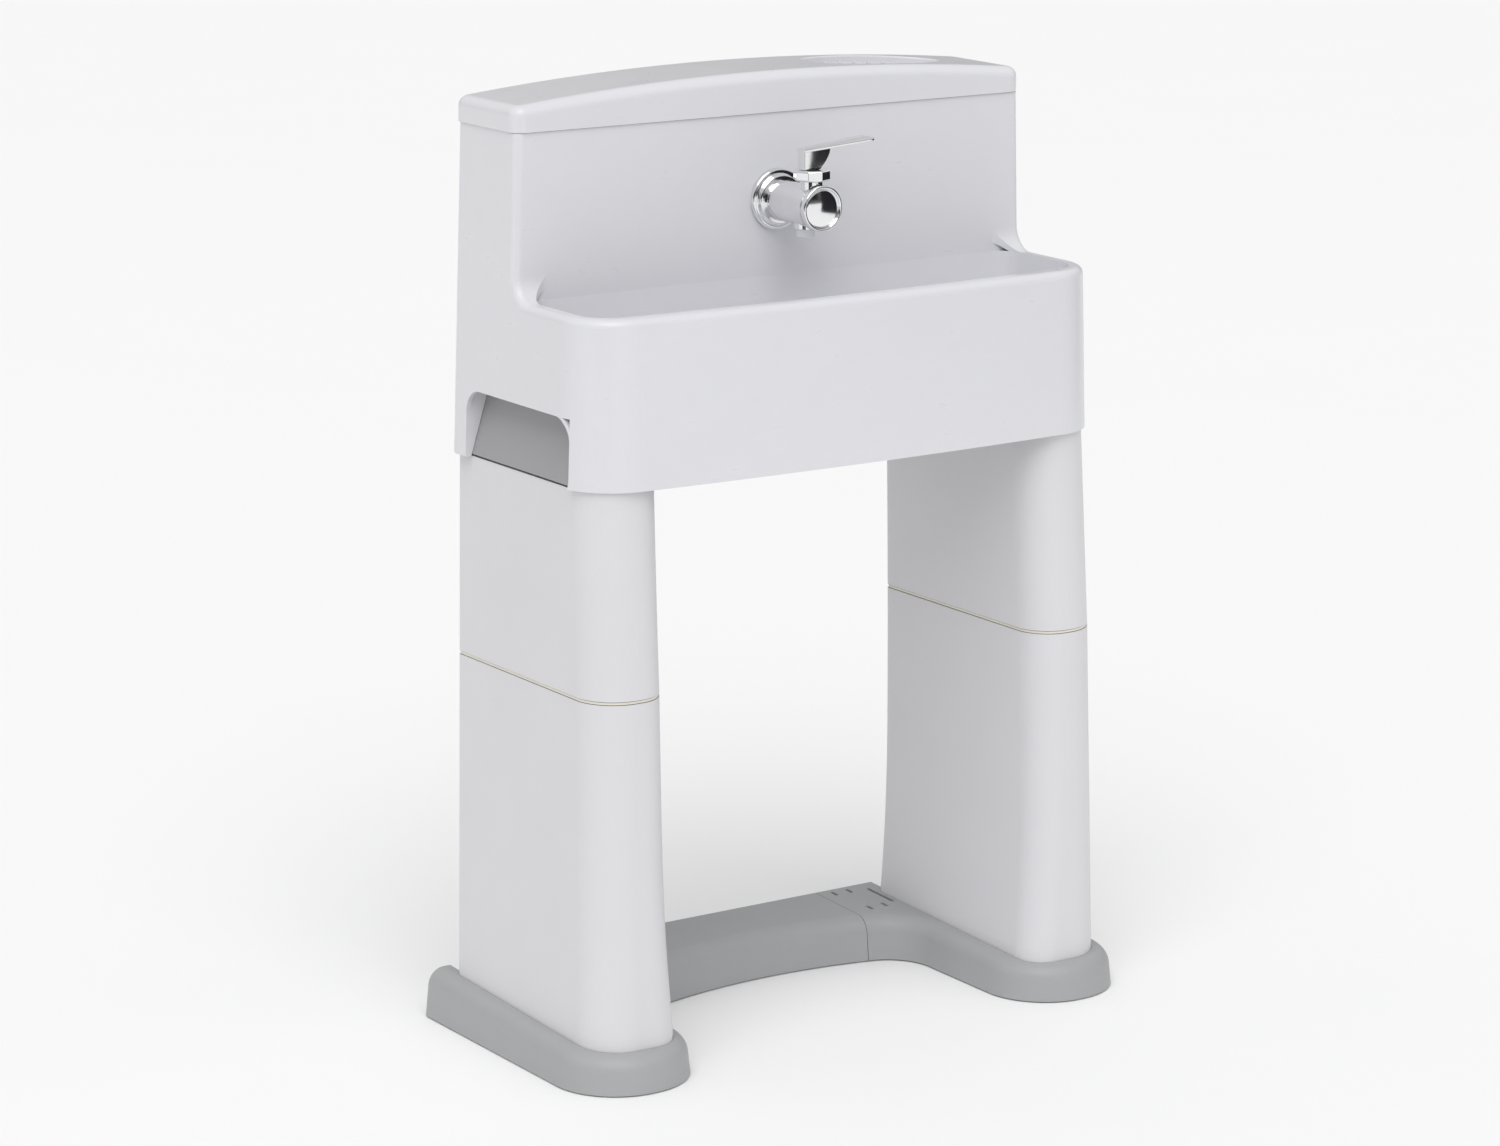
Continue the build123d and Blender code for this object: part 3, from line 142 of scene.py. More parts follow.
class Bench:
    """One material under construction, with its main shader and its place on the object."""

    def __init__(self, name):
        self.material = bpy.data.materials.new(name)
        self.material.use_nodes = True
        self.tree = self.material.node_tree
        self.shader = self.tree.nodes["Principled BSDF"]
        place = self.tree.nodes.new("ShaderNodeTexCoord")
        self.place = Signal(self, place.outputs["Object"])

    def node(self, kind, settings=None, values=None, output=0):
        """Adds one node: its settings first, then a number or a link for each named socket."""
        made = self.tree.nodes.new(kind)
        for key, value in (settings or {}).items():
            setattr(made, key, value)
        for key, value in (values or {}).items():
            self.feed(made.inputs[key], value)
        return Signal(self, made.outputs[output])

    def feed(self, socket, value):
        """Links a signal to a socket, or sets the socket's own constant."""
        if isinstance(value, Signal):
            self.tree.links.new(value.socket, socket)
        else:
            socket.default_value = value

    def set(self, **constants):
        """Sets constants on the main shader, with underscores for the spaces in socket names."""
        for key, value in constants.items():
            self.feed(self.shader.inputs[key.replace("_", " ")], value)

    def noise(self, per_metre, detail=3.0, roughness=0.5, stretch=(1.0, 1.0, 1.0)):
        """Smooth seeded noise from 0 to 1, with that many features in a metre."""
        spread = self.node(
            "ShaderNodeVectorMath", {"operation": "MULTIPLY"}, {0: self.place, 1: stretch}
        )
        return self.node(
            "ShaderNodeTexNoise",
            {"noise_dimensions": "3D"},
            {"Vector": spread, "Scale": per_metre, "Detail": detail, "Roughness": roughness},
        )

    def height(self):
        """Height above the floor in metres."""
        return self.node("ShaderNodeSeparateXYZ", None, {0: self.place}, 2)

    def blend(self, share, first, second):
        """The first colour where share is 0 and the second where it is 1."""
        made = self.tree.nodes.new("ShaderNodeMix")
        made.data_type = "RGBA"
        made.clamp_factor = True
        colours = [socket for socket in made.inputs if socket.type == "RGBA"]
        self.feed(made.inputs[0], share)
        self.feed(colours[0], first)
        self.feed(colours[1], second)
        result = [socket for socket in made.outputs if socket.type == "RGBA"]
        return Signal(self, result[0])

    def relief(self, height, depth, strength=1.0):
        """Turns a height signal into surface relief of that depth in metres."""
        bump = self.node(
            "ShaderNodeBump", None, {"Height": height, "Distance": depth, "Strength": strength}
        )
        self.feed(self.shader.inputs["Normal"], bump)


def tone(colour, factor):
    """A colour made lighter or darker by a factor, with its alpha kept."""
    return tuple(min(channel * factor, 1.0) for channel in colour[:3]) + (1.0,)


# ---- finishes --------------------------------------------------------------------------------


def moulded_gloss(name, colour, sheen_rough=0.3):
    """Glossy moulded shell: a faint flow mottle, orange-peel relief and rubbed, duller patches."""
    bench = Bench(name)
    flow = bench.noise(9.0, 4.0, 0.6)
    peel = bench.noise(420.0, 2.0, 0.5)
    rub = bench.noise(34.0, 6.0, 0.7, (1.0, 1.0, 2.5))
    hairline = bench.noise(60.0, 3.0, 0.6, (1.0, 18.0, 14.0))
    scratch = ((hairline - 0.66) * 9.0).clipped()
    dusty = bench.blend(rub, tone(colour, 1.012), tone(colour, 0.972))
    bench.set(Base_Color=bench.blend((flow - 0.35) * 0.6, dusty, tone(colour, 0.955)))
    bench.set(Roughness=sheen_rough + (rub - 0.5) * 0.16 + scratch * 0.12)
    bench.set(Specular_IOR_Level=0.42, Coat_Weight=0.12, Coat_Roughness=0.18)
    bench.relief(peel + scratch * -0.3, 0.00004)
    return bench.material


def moulded_grain(name, colour, rough=0.5, per_metre=2100.0, depth=0.00007, mottle=0.07):
    """Matt moulded plastic: a spark-eroded grain, cloudy colour and shiny handled patches."""
    bench = Bench(name)
    grain = bench.noise(per_metre, 2.0, 0.6)
    cloud = bench.noise(14.0, 5.0, 0.65)
    speck = bench.noise(per_metre * 0.4, 2.0, 0.5)
    handled = bench.noise(22.0, 3.0, 0.5)
    shade = ((cloud - 0.3) * 1.6).clipped()
    clouded = bench.blend(shade, tone(colour, 1.0 + mottle / 2), tone(colour, 1.0 - mottle / 2))
    flecks = ((speck - 0.62) * 4.0).clipped()
    bench.set(Base_Color=bench.blend(flecks * 0.35, clouded, tone(colour, 1.0 - 2 * mottle)))
    bench.set(Roughness=rough + (handled - 0.5) * 0.2 + (grain - 0.5) * 0.1)
    bench.set(Specular_IOR_Level=0.4)
    bench.relief(grain, depth)
    return bench.material


def seam_ring(name, colour, gap_shade_colour, low, high, line):
    """The leg's seam ring: cream plastic with painted gap shade, a fine dark line along its lower
    and upper edge.
    """
    bench = Bench(name)
    height = bench.height()
    middle = (low + high) / 2
    reach = abs(height - middle)
    # edge is the painted shade mask: a thin band at the lower and upper edge, where the gaps to the
    # legs fall in shade
    edge = reach > (high - low) / 2 - line
    grain = bench.noise(1800.0, 2.0, 0.5)
    cloud = bench.noise(30.0, 4.0, 0.6)
    cream = bench.blend(cloud, tone(colour, 1.03), tone(colour, 0.93))
    # painted shade: the bands under the edge mask take the dark gap colour
    bench.set(Base_Color=bench.blend(edge, cream, gap_shade_colour))
    bench.set(Roughness=0.42 + grain * 0.16)
    bench.relief(grain - edge * 2.0, 0.00005)
    return bench.material


def polished_plate(name, colour, rough=0.07):
    """Chrome plate: bright metal with soft finger smears, water spots and fine wiping marks."""
    bench = Bench(name)
    smear = bench.noise(90.0, 4.0, 0.6)
    wipe = bench.noise(260.0, 2.0, 0.5, (1.0, 9.0, 1.0))
    spot = ((bench.noise(700.0, 1.0, 0.4) - 0.68) * 8.0).clipped()
    bench.set(Base_Color=bench.blend(smear, tone(colour, 1.03), tone(colour, 0.9)))
    bench.set(Metallic=1.0)
    bench.set(Roughness=rough + smear * 0.07 + spot * 0.12)
    bench.relief(wipe * 0.5 + spot * 0.5, 0.000008)
    return bench.material


def turned_metal(name, colour, rough, stretch):
    """Turned or brushed metal: close tool lines that follow one direction and a dulled film."""
    bench = Bench(name)
    lines = bench.noise(320.0, 3.0, 0.6, stretch)
    film = bench.noise(70.0, 5.0, 0.6)
    bench.set(Base_Color=bench.blend(film, tone(colour, 1.04), tone(colour, 0.84)))
    bench.set(Metallic=1.0)
    bench.set(Roughness=rough + lines * 0.2)
    bench.relief(lines, 0.00002)
    return bench.material


def milky(name, colour, rough=0.38):
    """Natural polymer: a little light goes into it, with a cloudy wall and a fine bloom."""
    bench = Bench(name)
    cloud = bench.noise(18.0, 5.0, 0.6)
    bloom = bench.noise(900.0, 2.0, 0.5)
    bench.set(Base_Color=bench.blend(cloud, tone(colour, 1.04), tone(colour, 0.92)))
    bench.set(Roughness=rough + cloud * 0.14)
    bench.set(Subsurface_Weight=0.12, Subsurface_Scale=0.004)
    bench.relief(bloom, 0.00003)
    return bench.material


def soft_rubber(name, colour):
    """Moulded rubber: nearly black, with a chalky bloom in patches and a fine grain."""
    bench = Bench(name)
    grain = bench.noise(1700.0, 3.0, 0.6)
    bloom = bench.noise(60.0, 5.0, 0.7)
    bench.set(Base_Color=bench.blend(((bloom - 0.45) * 2).clipped(), colour, tone(colour, 1.9)))
    bench.set(Roughness=0.68 + (grain - 0.5) * 0.2)
    bench.relief(grain, 0.00005)
    return bench.material


def dress(material, *nodes):
    """Gives every material slot of those frame nodes the same finish."""
    for name in nodes:
        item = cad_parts[name]
        if not item.material_slots:
            item.data.materials.append(material)
        for material_slot in item.material_slots:
            material_slot.material = material


# ---- surfaces --------------------------------------------------------------------------------


def closed_skin(rows):
    """Faces over rows of loops: neighbours joined by quads, a fan from each end's middle point.

    rows has the shape (count, around, 3). A signed volume below zero turns all faces over.
    """
    count, around = rows.shape[:2]
    points = np.concatenate([rows.reshape(-1, 3), rows[:1].mean(1), rows[-1:].mean(1)])
    row, column = np.meshgrid(np.arange(count - 1), np.arange(around), indexing="ij")
    beside = (column + 1) % around
    quads = np.stack(
        [
            row * around + column,
            row * around + beside,
            (row + 1) * around + beside,
            (row + 1) * around + column,
        ],
        -1,
    ).reshape(-1, 4)
    here = np.arange(around)
    there = (here + 1) % around
    first_middle = np.full(around, count * around)
    last_start = (count - 1) * around
    low_fan = np.stack([there, here, first_middle], -1)
    high_fan = np.stack([last_start + here, last_start + there, first_middle + 1], -1)
    fans = np.concatenate([low_fan, high_fan])
    triangles = np.concatenate([quads[:, [0, 1, 2]], quads[:, [0, 2, 3]], fans])
    corners = points[triangles]
    volume = np.einsum("ij,ij->i", corners[:, 0], np.cross(corners[:, 1], corners[:, 2])).sum()
    if volume < 0:
        quads = quads[:, ::-1]
        fans = fans[:, ::-1]
    return points, quads, fans


def piece(name, skins, material, smooth=True):
    """One mesh object from several closed skins, at the origin, with its place in its mesh."""
    points, faces, offset = [], [], 0
    for skin_points, quads, fans in skins:
        points.append(skin_points)
        faces += (quads + offset).tolist() + (fans + offset).tolist()
        offset += len(skin_points)
    mesh = bpy.data.meshes.new(name)
    mesh.from_pydata(np.concatenate(points) * MM, [], faces)
    mesh.polygons.foreach_set("use_smooth", np.full(len(mesh.polygons), smooth))
    mesh.materials.append(material)
    mesh.update()
    made = bpy.data.objects.new(name, mesh)
    bpy.context.scene.collection.objects.link(made)
    return made


def turned(profile, centre, axis, around=128):
    """A profile of (distance along the axis, radius) turned about an axis through centre."""
    profile = np.asarray(profile, float)
    turn = np.arange(around) * 2 * math.pi / around
    across = [index for index in range(3) if index != axis]
    rows = np.zeros((len(profile), around, 3)) + np.asarray(centre, float)
    rows[..., axis] += profile[:, :1]
    rows[..., across[0]] += profile[:, 1:] * np.cos(turn)
    rows[..., across[1]] += profile[:, 1:] * np.sin(turn)
    return closed_skin(rows)


def quarter(along, radius, corner, start, end, steps=9):
    """Points of a round corner: a quarter circle about (along, radius), in degrees."""
    sweep = np.radians(np.linspace(start, end, steps))
    return np.stack([along + corner * np.cos(sweep), radius + corner * np.sin(sweep)], -1)


def rounded_loop(half_width, half_height, corner, around=48):
    """A rectangle's outline with round corners: each point is a corner's centre plus its arc."""
    turn = (np.arange(around) + 0.5) * 2 * math.pi / around
    across = np.sign(np.cos(turn)) * (half_width - corner) + corner * np.cos(turn)
    upward = np.sign(np.sin(turn)) * (half_height - corner) + corner * np.sin(turn)
    return np.stack(np.broadcast_arrays(across, upward), -1)


def crease(item, width, angle=30.0):
    """Rounds the edges that turn by more than an angle, then evens the shading."""
    bevel = item.modifiers.new("edge", "BEVEL")
    bevel.width = width * MM
    bevel.segments = 3
    bevel.limit_method = "ANGLE"
    bevel.angle_limit = math.radians(angle)
    bevel.harden_normals = True
    item.data.polygons.foreach_set("use_smooth", np.ones(len(item.data.polygons), bool))
    return item


def in_mm(node):
    """A frame node's lowest and highest corner in millimetres."""
    low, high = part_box(node)
    return np.array(low) / MM, np.array(high) / MM


# ---- settings --------------------------------------------------------------------------------


def colour_setting(name, description, default):
    """A colour that a user can change in the sidebar."""
    return FloatVectorProperty(
        name=name, description=description, default=default, size=4, subtype="COLOR", min=0, max=1
    )


class HandwashColours(bpy.types.PropertyGroup):
    shell: colour_setting("Shell", "Lid, housing and bowl", (0.735, 0.735, 0.765, 1))
    legs: colour_setting("Legs", "Upper and lower legs", (0.70, 0.695, 0.72, 1))
    base: colour_setting("Base", "Feet and cross bar", (0.385, 0.39, 0.395, 1))
    tub: colour_setting("Tub", "Waste tub behind the hand holds", (0.36, 0.355, 0.365, 1))
    ring: colour_setting("Seam ring", "Cream ring at each leg's seam", (0.82, 0.79, 0.68, 1))
    # painted shade: colour of the thin lines painted where the ring meets the legs
    ring_shade_line: colour_setting("Ring line", "Fine dark lines of the ring", (0.10, 0.10, 0.11, 1))
    plate: colour_setting("Plate", "Chrome of the tap", (0.90, 0.90, 0.91, 1))
    spout: colour_setting("Spout", "Light plastic of the spout", (0.74, 0.77, 0.80, 1))
    tank: colour_setting("Tank", "Natural polymer of the tank", (0.82, 0.84, 0.85, 1))
    nut: colour_setting("Nuts", "Nylon of the back nuts", (0.76, 0.76, 0.72, 1))
    drain: colour_setting("Drain", "White plastic of the drain", (0.80, 0.80, 0.82, 1))
    strainer: colour_setting("Strainer", "Brushed steel", (0.70, 0.71, 0.72, 1))
    brass: colour_setting("Stem", "Turned brass", (0.78, 0.62, 0.34, 1))
    rubber: colour_setting("Rubber", "Pads and seals", (0.06, 0.06, 0.06, 1))
    floor: colour_setting("Floor", "Plain studio floor", (0.97, 0.97, 0.97, 1))


class HandwashSizes(bpy.types.PropertyGroup):
    flange_round: FloatProperty(
        name="Flange rounding", description="Round of the flange's rims, mm", default=1.7, min=0.2
    )
    cap_bezel: FloatProperty(
        name="Cap bezel", description="Width of the end cap's rim, mm", default=2.6, min=0.5
    )
    cap_dome: FloatProperty(
        name="Cap dome", description="Rise of the end cap's middle, mm", default=1.6, min=0.0
    )
    collar_sides: IntProperty(
        name="Collar sides", description="Flats on the collar nut", default=8, min=6, max=12
    )
    collar_bevel: FloatProperty(
        name="Collar bevel", description="Bevel of the collar's rims, mm", default=1.1, min=0.1
    )
    lever_round: FloatProperty(
        name="Lever rounding", description="Soft edges of the lever's web, mm", default=1.3, min=0.2
    )
    blade_thickness: FloatProperty(
        name="Blade thickness", description="The lever's blade, mm", default=2.4, min=1.0
    )
    blade_tip: FloatProperty(
        name="Blade tip rounding", description="Corner radius of the tip, mm", default=2.5, min=0.5
    )
    # height of each thin line of painted shade at the ring's gaps to the legs
    ring_shade_line: FloatProperty(
        name="Ring line", description="Height of each fine dark line, mm", default=0.45, min=0.1
    )


class HandwashStudio(bpy.types.PropertyGroup):
    lens: FloatProperty(
        name="Lens", description="Focal length on a 36 mm sensor", default=110.7, min=10.0
    )
    heading: FloatProperty(
        name="Heading", description="Camera's heading from the rear direction", default=33.9
    )
    pitch: FloatProperty(name="Pitch", description="How far the camera looks down", default=13.2)
    roll: FloatProperty(name="Roll", description="The camera's turn about its axis", default=0.2)
    stand: FloatVectorProperty(
        name="Camera place",
        description="Where the camera stands",
        default=(-1.872, -2.736, 1.110),
        subtype="TRANSLATION",
        unit="LENGTH",
    )
    sky: FloatProperty(name="Sky", description="Strength of the soft light", default=0.62, min=0)
    key: FloatProperty(name="Key", description="Strength of the wide light", default=1.45, min=0)
    floor_size: FloatProperty(
        name="Floor size", description="Half the floor's side", default=30.0, unit="LENGTH"
    )


# ---- stage -----------------------------------------------------------------------------------


def studio_sky(strength):
    """Even white light, with darker studio walls that only polished surfaces mirror."""
    world = bpy.data.worlds.new("studio_sky")
    bpy.context.scene.world = world
    world.use_nodes = True
    nodes, links = world.node_tree.nodes, world.node_tree.links
    background = nodes["Background"]
    background.inputs["Strength"].default_value = strength
    place = nodes.new("ShaderNodeTexCoord")
    split = nodes.new("ShaderNodeSeparateXYZ")
    links.new(place.outputs["Generated"], split.inputs[0])
    ramp = nodes.new("ShaderNodeValToRGB")
    while len(ramp.color_ramp.elements) < len(SKY_STOPS):
        ramp.color_ramp.elements.new(0.5)
    for element, (position, grey) in zip(ramp.color_ramp.elements, SKY_STOPS):
        element.position = position
        element.color = (grey, grey, grey, 1)
    half = nodes.new("ShaderNodeMath")
    half.operation = "MULTIPLY_ADD"
    half.inputs[1].default_value = 0.5
    half.inputs[2].default_value = 0.5
    links.new(split.outputs["Z"], half.inputs[0])
    links.new(half.outputs[0], ramp.inputs[0])
    path = nodes.new("ShaderNodeLightPath")
    mix = nodes.new("ShaderNodeMix")
    mix.data_type = "RGBA"
    colours = [socket for socket in mix.inputs if socket.type == "RGBA"]
    colours[0].default_value = (1.0, 1.0, 1.0, 1.0)
    links.new(path.outputs["Is Glossy Ray"], mix.inputs[0])
    links.new(ramp.outputs[0], colours[1])
    result = [socket for socket in mix.outputs if socket.type == "RGBA"]
    links.new(result[0], background.inputs["Color"])


def wide_light(name, towards, power, spread):
    """A distant light with a wide disc, which lights the far floor as it does the near one."""
    lamp = bpy.data.lights.new(name, "SUN")
    lamp.energy = power
    lamp.angle = math.radians(spread)
    lamp.specular_factor = 0.4
    holder = bpy.data.objects.new(name, lamp)
    bpy.context.scene.collection.objects.link(holder)
    holder.rotation_euler = Vector(towards).to_track_quat("-Z", "Y").to_euler()


def dark_card(name, low, high):
    """A black upright card that only polished metal mirrors, to draw its edges."""
    points = [low, (high[0], high[1], low[2]), high, (low[0], low[1], high[2])]
    mesh = bpy.data.meshes.new(name)
    mesh.from_pydata(points, [], [(0, 1, 2, 3)])
    bench = Bench(name)
    bench.set(Base_Color=(0.02, 0.02, 0.025, 1.0), Roughness=0.9, Specular_IOR_Level=0.0)
    mesh.materials.append(bench.material)
    card = bpy.data.objects.new(name, mesh)
    bpy.context.scene.collection.objects.link(card)
    card.visible_camera = False
    card.visible_diffuse = False
    card.visible_shadow = False


class HANDWASH_OT_stage(bpy.types.Operator):
    """Lays the floor, sets the wide light, the sky and the dark cards, and places the camera."""

    bl_idname = "handwash.stage"
    bl_label = "Studio, lights and camera"

    def execute(self, context):
        studio = context.scene.handwash_studio
        colours = context.scene.handwash_colours
        reach = studio.floor_size
        corners = np.array([(-reach, -reach), (reach, -reach), (reach, reach), (-reach, reach)])
        points = np.concatenate([corners, np.zeros((4, 1))], 1)
        mesh = bpy.data.meshes.new("studio_floor")
        mesh.from_pydata(points, [], [(0, 1, 2, 3)])
        bench = Bench("floor_paint")
        paint = tuple(colours.floor)
        cloud = bench.noise(3.0, 3.0, 0.5)
        bench.set(Base_Color=bench.blend(cloud, paint, tone(paint, 0.99)))
        bench.set(Roughness=0.7, Specular_IOR_Level=0.2)
        mesh.materials.append(bench.material)
        floor = bpy.data.objects.new("studio_floor", mesh)
        context.scene.collection.objects.link(floor)
        studio_sky(studio.sky)
        wide_light("key_light", KEY_TOWARDS, studio.key, KEY_SPREAD)
        for name, low, high in DARK_CARDS:
            dark_card(name, low, high)
        context.scene.view_settings.view_transform = "Standard"
        self.camera(context, studio)
        return {"FINISHED"}

    def camera(self, context, studio):
        """Heading turns clockwise from the rear, pitch is downward, roll is about the view."""
        heading, pitch, roll = (
            math.radians(angle) for angle in (studio.heading, studio.pitch, studio.roll)
        )
        forward = Vector(
            (
                math.sin(heading) * math.cos(pitch),
                math.cos(heading) * math.cos(pitch),
                -math.sin(pitch),
            )
        )
        right = forward.cross(Vector((0, 0, 1))).normalized()
        upward = right.cross(forward)
        tilted_right = right * math.cos(roll) + upward * math.sin(roll)
        tilted_up = upward * math.cos(roll) - right * math.sin(roll)
        lens = bpy.data.cameras.new("camera")
        lens.lens = studio.lens
        lens.sensor_width = 36.0
        lens.clip_end = 100.0
        holder = bpy.data.objects.new("camera", lens)
        context.scene.collection.objects.link(holder)
        turn = Matrix((tilted_right, tilted_up, -forward)).transposed().to_4x4()
        holder.matrix_world = Matrix.Translation(Vector(studio.stand)) @ turn
        context.scene.camera = holder


# ---- finishes on the frame's own pieces --------------------------------------------------------


class HANDWASH_OT_shell(bpy.types.Operator):
    """Gives the lid and the housing their glossy moulded white."""

    bl_idname = "handwash.shell"
    bl_label = "Lid and housing"

    def execute(self, context):
        colours = context.scene.handwash_colours
        dress(moulded_gloss("shell_white", tuple(colours.shell)), "sink_housing", "tank_lid")
        dress(moulded_gloss("drain_white", tuple(colours.drain), 0.24), "drain_body")
        return {"FINISHED"}


class HANDWASH_OT_legs(bpy.types.Operator):
    """Gives the legs their fine-textured white and each seam its cream ring, lined with painted
    shade at its gaps.
    """

    bl_idname = "handwash.legs"
    bl_label = "Legs and seam rings"

    def execute(self, context):
        colours = context.scene.handwash_colours
        sizes = context.scene.handwash_sizes
        white = moulded_grain(
            "leg_white",
            tuple(colours.legs),
            rough=0.42,
            per_metre=1500.0,
            depth=0.00004,
            mottle=0.03,
        )
        dress(white, "lower_leg_left", "lower_leg_right", "upper_leg_left", "upper_leg_right")
        seam_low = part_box("lower_leg_right")[1].z
        seam_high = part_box("upper_leg_right")[0].z
        # the ring's painted shade lines sit at its lower and upper edge, between these heights
        ring = seam_ring(
            "seam_cream",
            tuple(colours.ring),
            tuple(colours.ring_shade_line),
            seam_low,
            seam_high,
            sizes.ring_shade_line * MM,
        )
        dress(ring, "leg_coupler_left", "leg_coupler_right")
        return {"FINISHED"}


class HANDWASH_OT_base(bpy.types.Operator):
    """Gives the feet, the bar and the tub their grained grey, and the pads their rubber."""

    bl_idname = "handwash.base"
    bl_label = "Feet, bar, tub and pads"

    def execute(self, context):
        colours = context.scene.handwash_colours
        grey = moulded_grain(
            "base_grey",
            tuple(colours.base),
            rough=0.46,
            per_metre=1400.0,
            depth=0.00008,
            mottle=0.06,
        )
        dress(grey, "left_foot", "right_foot", "cross_bar")
        dress(moulded_grain("tub_grey", tuple(colours.tub), rough=0.52), "waste_tub")
        rubber = soft_rubber("soft_rubber", tuple(colours.rubber))
        dress(rubber, "rubber_pads", "drain_gasket", "lid_seal", "stem_oring")
        dress(rubber, "tap_gasket_inner", "tap_gasket_outer")
        return {"FINISHED"}


class HANDWASH_OT_inner(bpy.types.Operator):
    """Finishes the tank, the nuts, the strainer and the valve's stem."""

    bl_idname = "handwash.inner"
    bl_label = "Tank, nuts, strainer and stem"

    def execute(self, context):
        colours = context.scene.handwash_colours
        dress(milky("tank_natural", tuple(colours.tank)), "water_tank")
        dress(milky("nylon", tuple(colours.nut), 0.45), "drain_nut", "tap_shank_nut")
        steel = turned_metal("brushed_steel", tuple(colours.strainer), 0.22, (1.0, 14.0, 1.0))
        dress(steel, "drain_strainer")
        brass = turned_metal("turned_brass", tuple(colours.brass), 0.2, (1.0, 1.0, 12.0))
        dress(brass, "tap_stem")
        plate = polished_plate("chrome_plate", tuple(colours.plate))
        dress(plate, "tap_body", "tap_flange", "tap_collar", "tap_end_cap", "tap_lever")
        dress(milky("spout_milk", tuple(colours.spout), 0.2), "tap_spout")
        return {"FINISHED"}


# ---- pieces of the tap -------------------------------------------------------------------------


class HANDWASH_OT_flange(bpy.types.Operator):
    """Turns the two stepped, round-edged rings of the wall flange."""

    bl_idname = "handwash.flange"
    bl_label = "Tap flange"

    def execute(self, context):
        low, high = in_mm("tap_flange")
        middle = (low + high) / 2
        outer = (high[0] - low[0]) / 2
        depth = high[1] - low[1]
        shelf = -depth * (1 - FRONT_RING_SHARE)
        rim = outer - FRONT_RING_INSET
        bore = outer * BORE_SHARE
        rounding = context.scene.handwash_sizes.flange_round
        profile = np.concatenate(
            [
                [(0.0, bore), (0.0, outer - FLANGE_CHAMFER), (-FLANGE_CHAMFER, outer)],
                quarter(shelf + rounding, outer - rounding, rounding, 90, 180),
                [(shelf, rim + RING_STEP_WIDTH), (shelf - RING_STEP_DEPTH, rim)],
                quarter(-depth + rounding, rim - rounding, rounding, 90, 180),
                [(-depth, bore)],
            ]
        )
        skin = turned(profile, (middle[0], high[1], middle[2]), 1)
        plate = bpy.data.materials["chrome_plate"]
        made = piece("flange_rings", [skin], plate)
        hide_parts("tap_flange")
        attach(made, "sink")
        return {"FINISHED"}


class HANDWASH_OT_cap(bpy.types.Operator):
    """Turns the end cap: a bright rounded bezel round a shallow groove and a domed face."""

    bl_idname = "handwash.cap"
    bl_label = "Tap end cap"

    def execute(self, context):
        low, high = in_mm("tap_end_cap")
        sizes = context.scene.handwash_sizes
        middle = (low + high) / 2
        radius = (high[0] - low[0]) / 2
        seat = in_mm("tap_body")[0][1] - low[1]
        bezel = sizes.cap_bezel
        inner = radius - bezel
        face = inner - CAP_GROOVE_WIDTH
        share = np.linspace(1.0, CAP_DOME_MIDDLE_SHARE, 14)
        rise = sizes.cap_dome * (1 - share**2)
        dome = np.stack([CAP_DOME_DEPTH - rise, face * share], -1)
        profile = np.concatenate(
            [
                [(seat, radius * BORE_SHARE), (seat, radius - CAP_CHAMFER)],
                [(seat - CAP_CHAMFER, radius)],
                quarter(bezel / 2 + CAP_BEZEL_LIFT, radius - bezel / 2, bezel / 2, 90, 270, 19),
                [(CAP_GROOVE_DEPTH, inner - CAP_GROOVE_STEP)],
                dome,
            ]
        )
        skin = turned(profile, (middle[0], low[1], middle[2]), 1)
        made = piece("cap_bezel_and_dome", [skin], bpy.data.materials["chrome_plate"])
        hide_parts("tap_end_cap")
        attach(made, "sink")
        return {"FINISHED"}


class HANDWASH_OT_collar(bpy.types.Operator):
    """Makes the faceted collar nut, its rims bevelled above and below."""

    bl_idname = "handwash.collar"
    bl_label = "Tap collar"

    def execute(self, context):
        low, high = in_mm("tap_collar")
        sizes = context.scene.handwash_sizes
        middle = (low + high) / 2
        radius = (high[0] - low[0]) / 2
        bevel = sizes.collar_bevel
        rise = high[2] - low[2]
        turn = np.arange(sizes.collar_sides) * 2 * math.pi / sizes.collar_sides
        profile = np.array(
            [(0, radius - bevel), (bevel, radius), (rise - bevel, radius), (rise, radius - bevel)]
        )
        rows = np.zeros((len(profile), len(turn), 3))
        rows[..., 0] = middle[0] + profile[:, 1:] * np.cos(turn)
        rows[..., 1] = middle[1] + profile[:, 1:] * np.sin(turn)
        rows[..., 2] = low[2] + profile[:, :1]
        made = piece("collar_nut", [closed_skin(rows)], bpy.data.materials["chrome_plate"])
        crease(made, width=0.35, angle=12.0)
        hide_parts("tap_collar")
        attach(made, "sink")
        return {"FINISHED"}


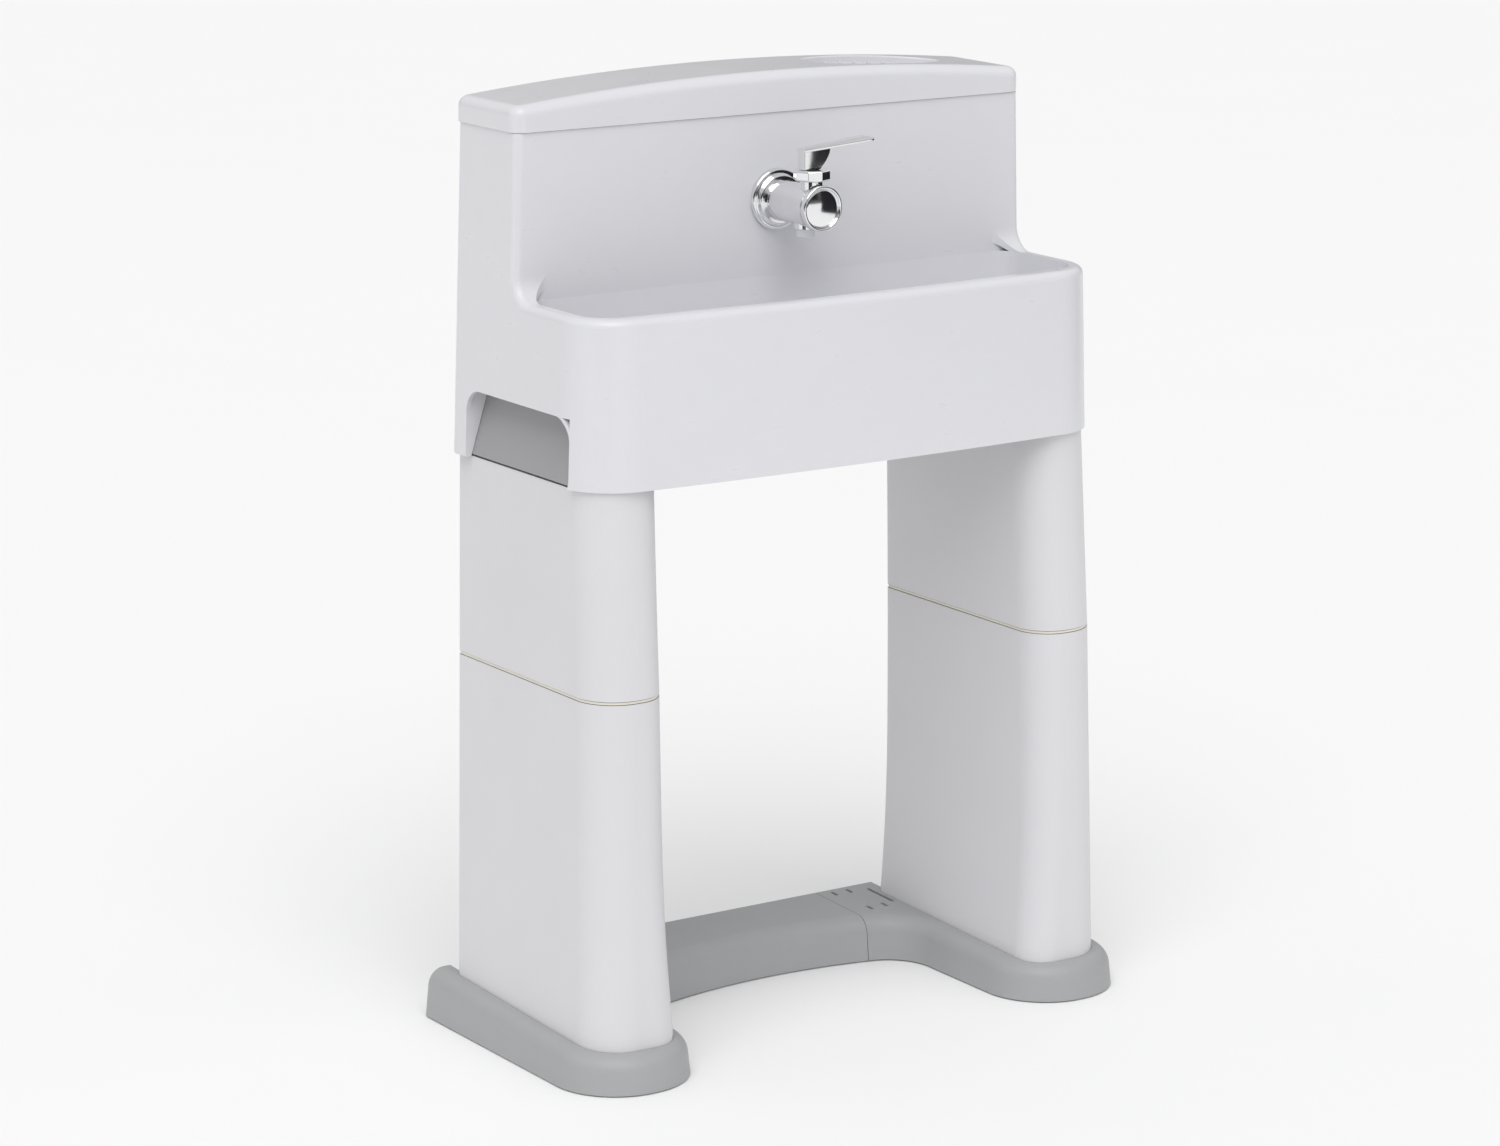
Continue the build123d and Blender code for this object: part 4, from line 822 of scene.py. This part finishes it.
class HANDWASH_OT_lever(bpy.types.Operator):
    """Makes the lever: a soft-edged web with a slanted end under a thin, widening blade."""

    bl_idname = "handwash.lever"
    bl_label = "Tap lever"

    def execute(self, context):
        low, high = in_mm("tap_lever")
        sizes = context.scene.handwash_sizes
        middle_y = (low[1] + high[1]) / 2
        skins = [self.web(low, high, middle_y, sizes), self.blade(low, high, middle_y, sizes)]
        made = piece("lever_web_and_blade", skins, bpy.data.materials["chrome_plate"])
        crease(made, width=0.5, angle=35.0)
        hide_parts("tap_lever")
        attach(made, "lever")
        return {"FINISHED"}

    def web(self, low, high, middle_y, sizes):
        """Level outlines from bottom to top; the far end moves out along a sine with height."""
        web_top = high[2] - BLADE_RISE - WEB_TUCK
        share = np.linspace(0, 1, 12)
        slant = WEB_SLANT * (1 - np.sin(share * math.pi / 2))
        end = WEB_REACH - slant - WEB_FOOT_ROUND * (1 - share) ** 4
        height = low[2] + (web_top - low[2]) * share
        half = (end - low[0]) / 2
        loops = rounded_loop(half[:, None], WEB_HALF_WIDTH, sizes.lever_round)
        rows = np.zeros((len(share), loops.shape[1], 3))
        rows[..., 0] = loops[..., 0] + (low[0] + half)[:, None]
        rows[..., 1] = loops[..., 1] + middle_y
        rows[..., 2] = height[:, None]
        return closed_skin(rows)

    def blade(self, low, high, middle_y, sizes):
        """Upright outlines along X; width grows evenly, and the tip's corners round off."""
        length = high[0] - low[0]
        corner = sizes.blade_tip
        steady = np.linspace(BLADE_START, length - corner, 24)
        closing = length - corner + corner * np.sin(np.linspace(0, BLADE_TIP_TURN, 9))[1:]
        along = np.concatenate([steady, closing])
        half = BLADE_HALF_WIDTH + BLADE_HALF_GROWTH * along / length
        past = np.clip(along - (length - corner), 0, corner)
        half = half - (corner - np.sqrt(corner**2 - past**2))
        thick = sizes.blade_thickness / 2
        loops = rounded_loop(half[:, None], thick, thick * BLADE_EDGE_SHARE)
        rows = np.zeros((len(along), loops.shape[1], 3))
        rows[..., 0] = (low[0] + along)[:, None]
        rows[..., 1] = middle_y + loops[..., 0]
        centre = high[2] - BLADE_RISE * (1 - along / length) - thick
        rows[..., 2] = centre[:, None] + loops[..., 1]
        return closed_skin(rows)


# ---- sidebar and run ---------------------------------------------------------------------------

OPERATORS = (
    HANDWASH_OT_stage,
    HANDWASH_OT_shell,
    HANDWASH_OT_legs,
    HANDWASH_OT_base,
    HANDWASH_OT_inner,
    HANDWASH_OT_flange,
    HANDWASH_OT_cap,
    HANDWASH_OT_collar,
    HANDWASH_OT_lever,
)


class HANDWASH_PT_sidebar(bpy.types.Panel):
    """Lists every step and every setting of the sink."""

    bl_idname = "HANDWASH_PT_sidebar"
    bl_label = "Portable handwash sink"
    bl_space_type = "VIEW_3D"
    bl_region_type = "UI"
    bl_category = "Handwash"

    def draw(self, context):
        for step in OPERATORS:
            self.layout.operator(step.bl_idname)
        scene = context.scene
        for group in (scene.handwash_sizes, scene.handwash_colours, scene.handwash_studio):
            box = self.layout.box()
            for setting in group.__annotations__:
                box.prop(group, setting)


CLASSES = (HandwashColours, HandwashSizes, HandwashStudio) + OPERATORS + (HANDWASH_PT_sidebar,)


def register():
    for item in CLASSES:
        bpy.utils.register_class(item)
    bpy.types.Scene.handwash_colours = PointerProperty(type=HandwashColours)
    bpy.types.Scene.handwash_sizes = PointerProperty(type=HandwashSizes)
    bpy.types.Scene.handwash_studio = PointerProperty(type=HandwashStudio)


def unregister():
    del bpy.types.Scene.handwash_studio
    del bpy.types.Scene.handwash_sizes
    del bpy.types.Scene.handwash_colours
    for item in reversed(CLASSES):
        bpy.utils.unregister_class(item)


def main():
    """Registers the add-on and builds the finished sink by running every step."""
    register()
    for step in OPERATORS:
        group, name = step.bl_idname.split(".")
        getattr(getattr(bpy.ops, group), name)()


if __name__ == "__main__":
    main()
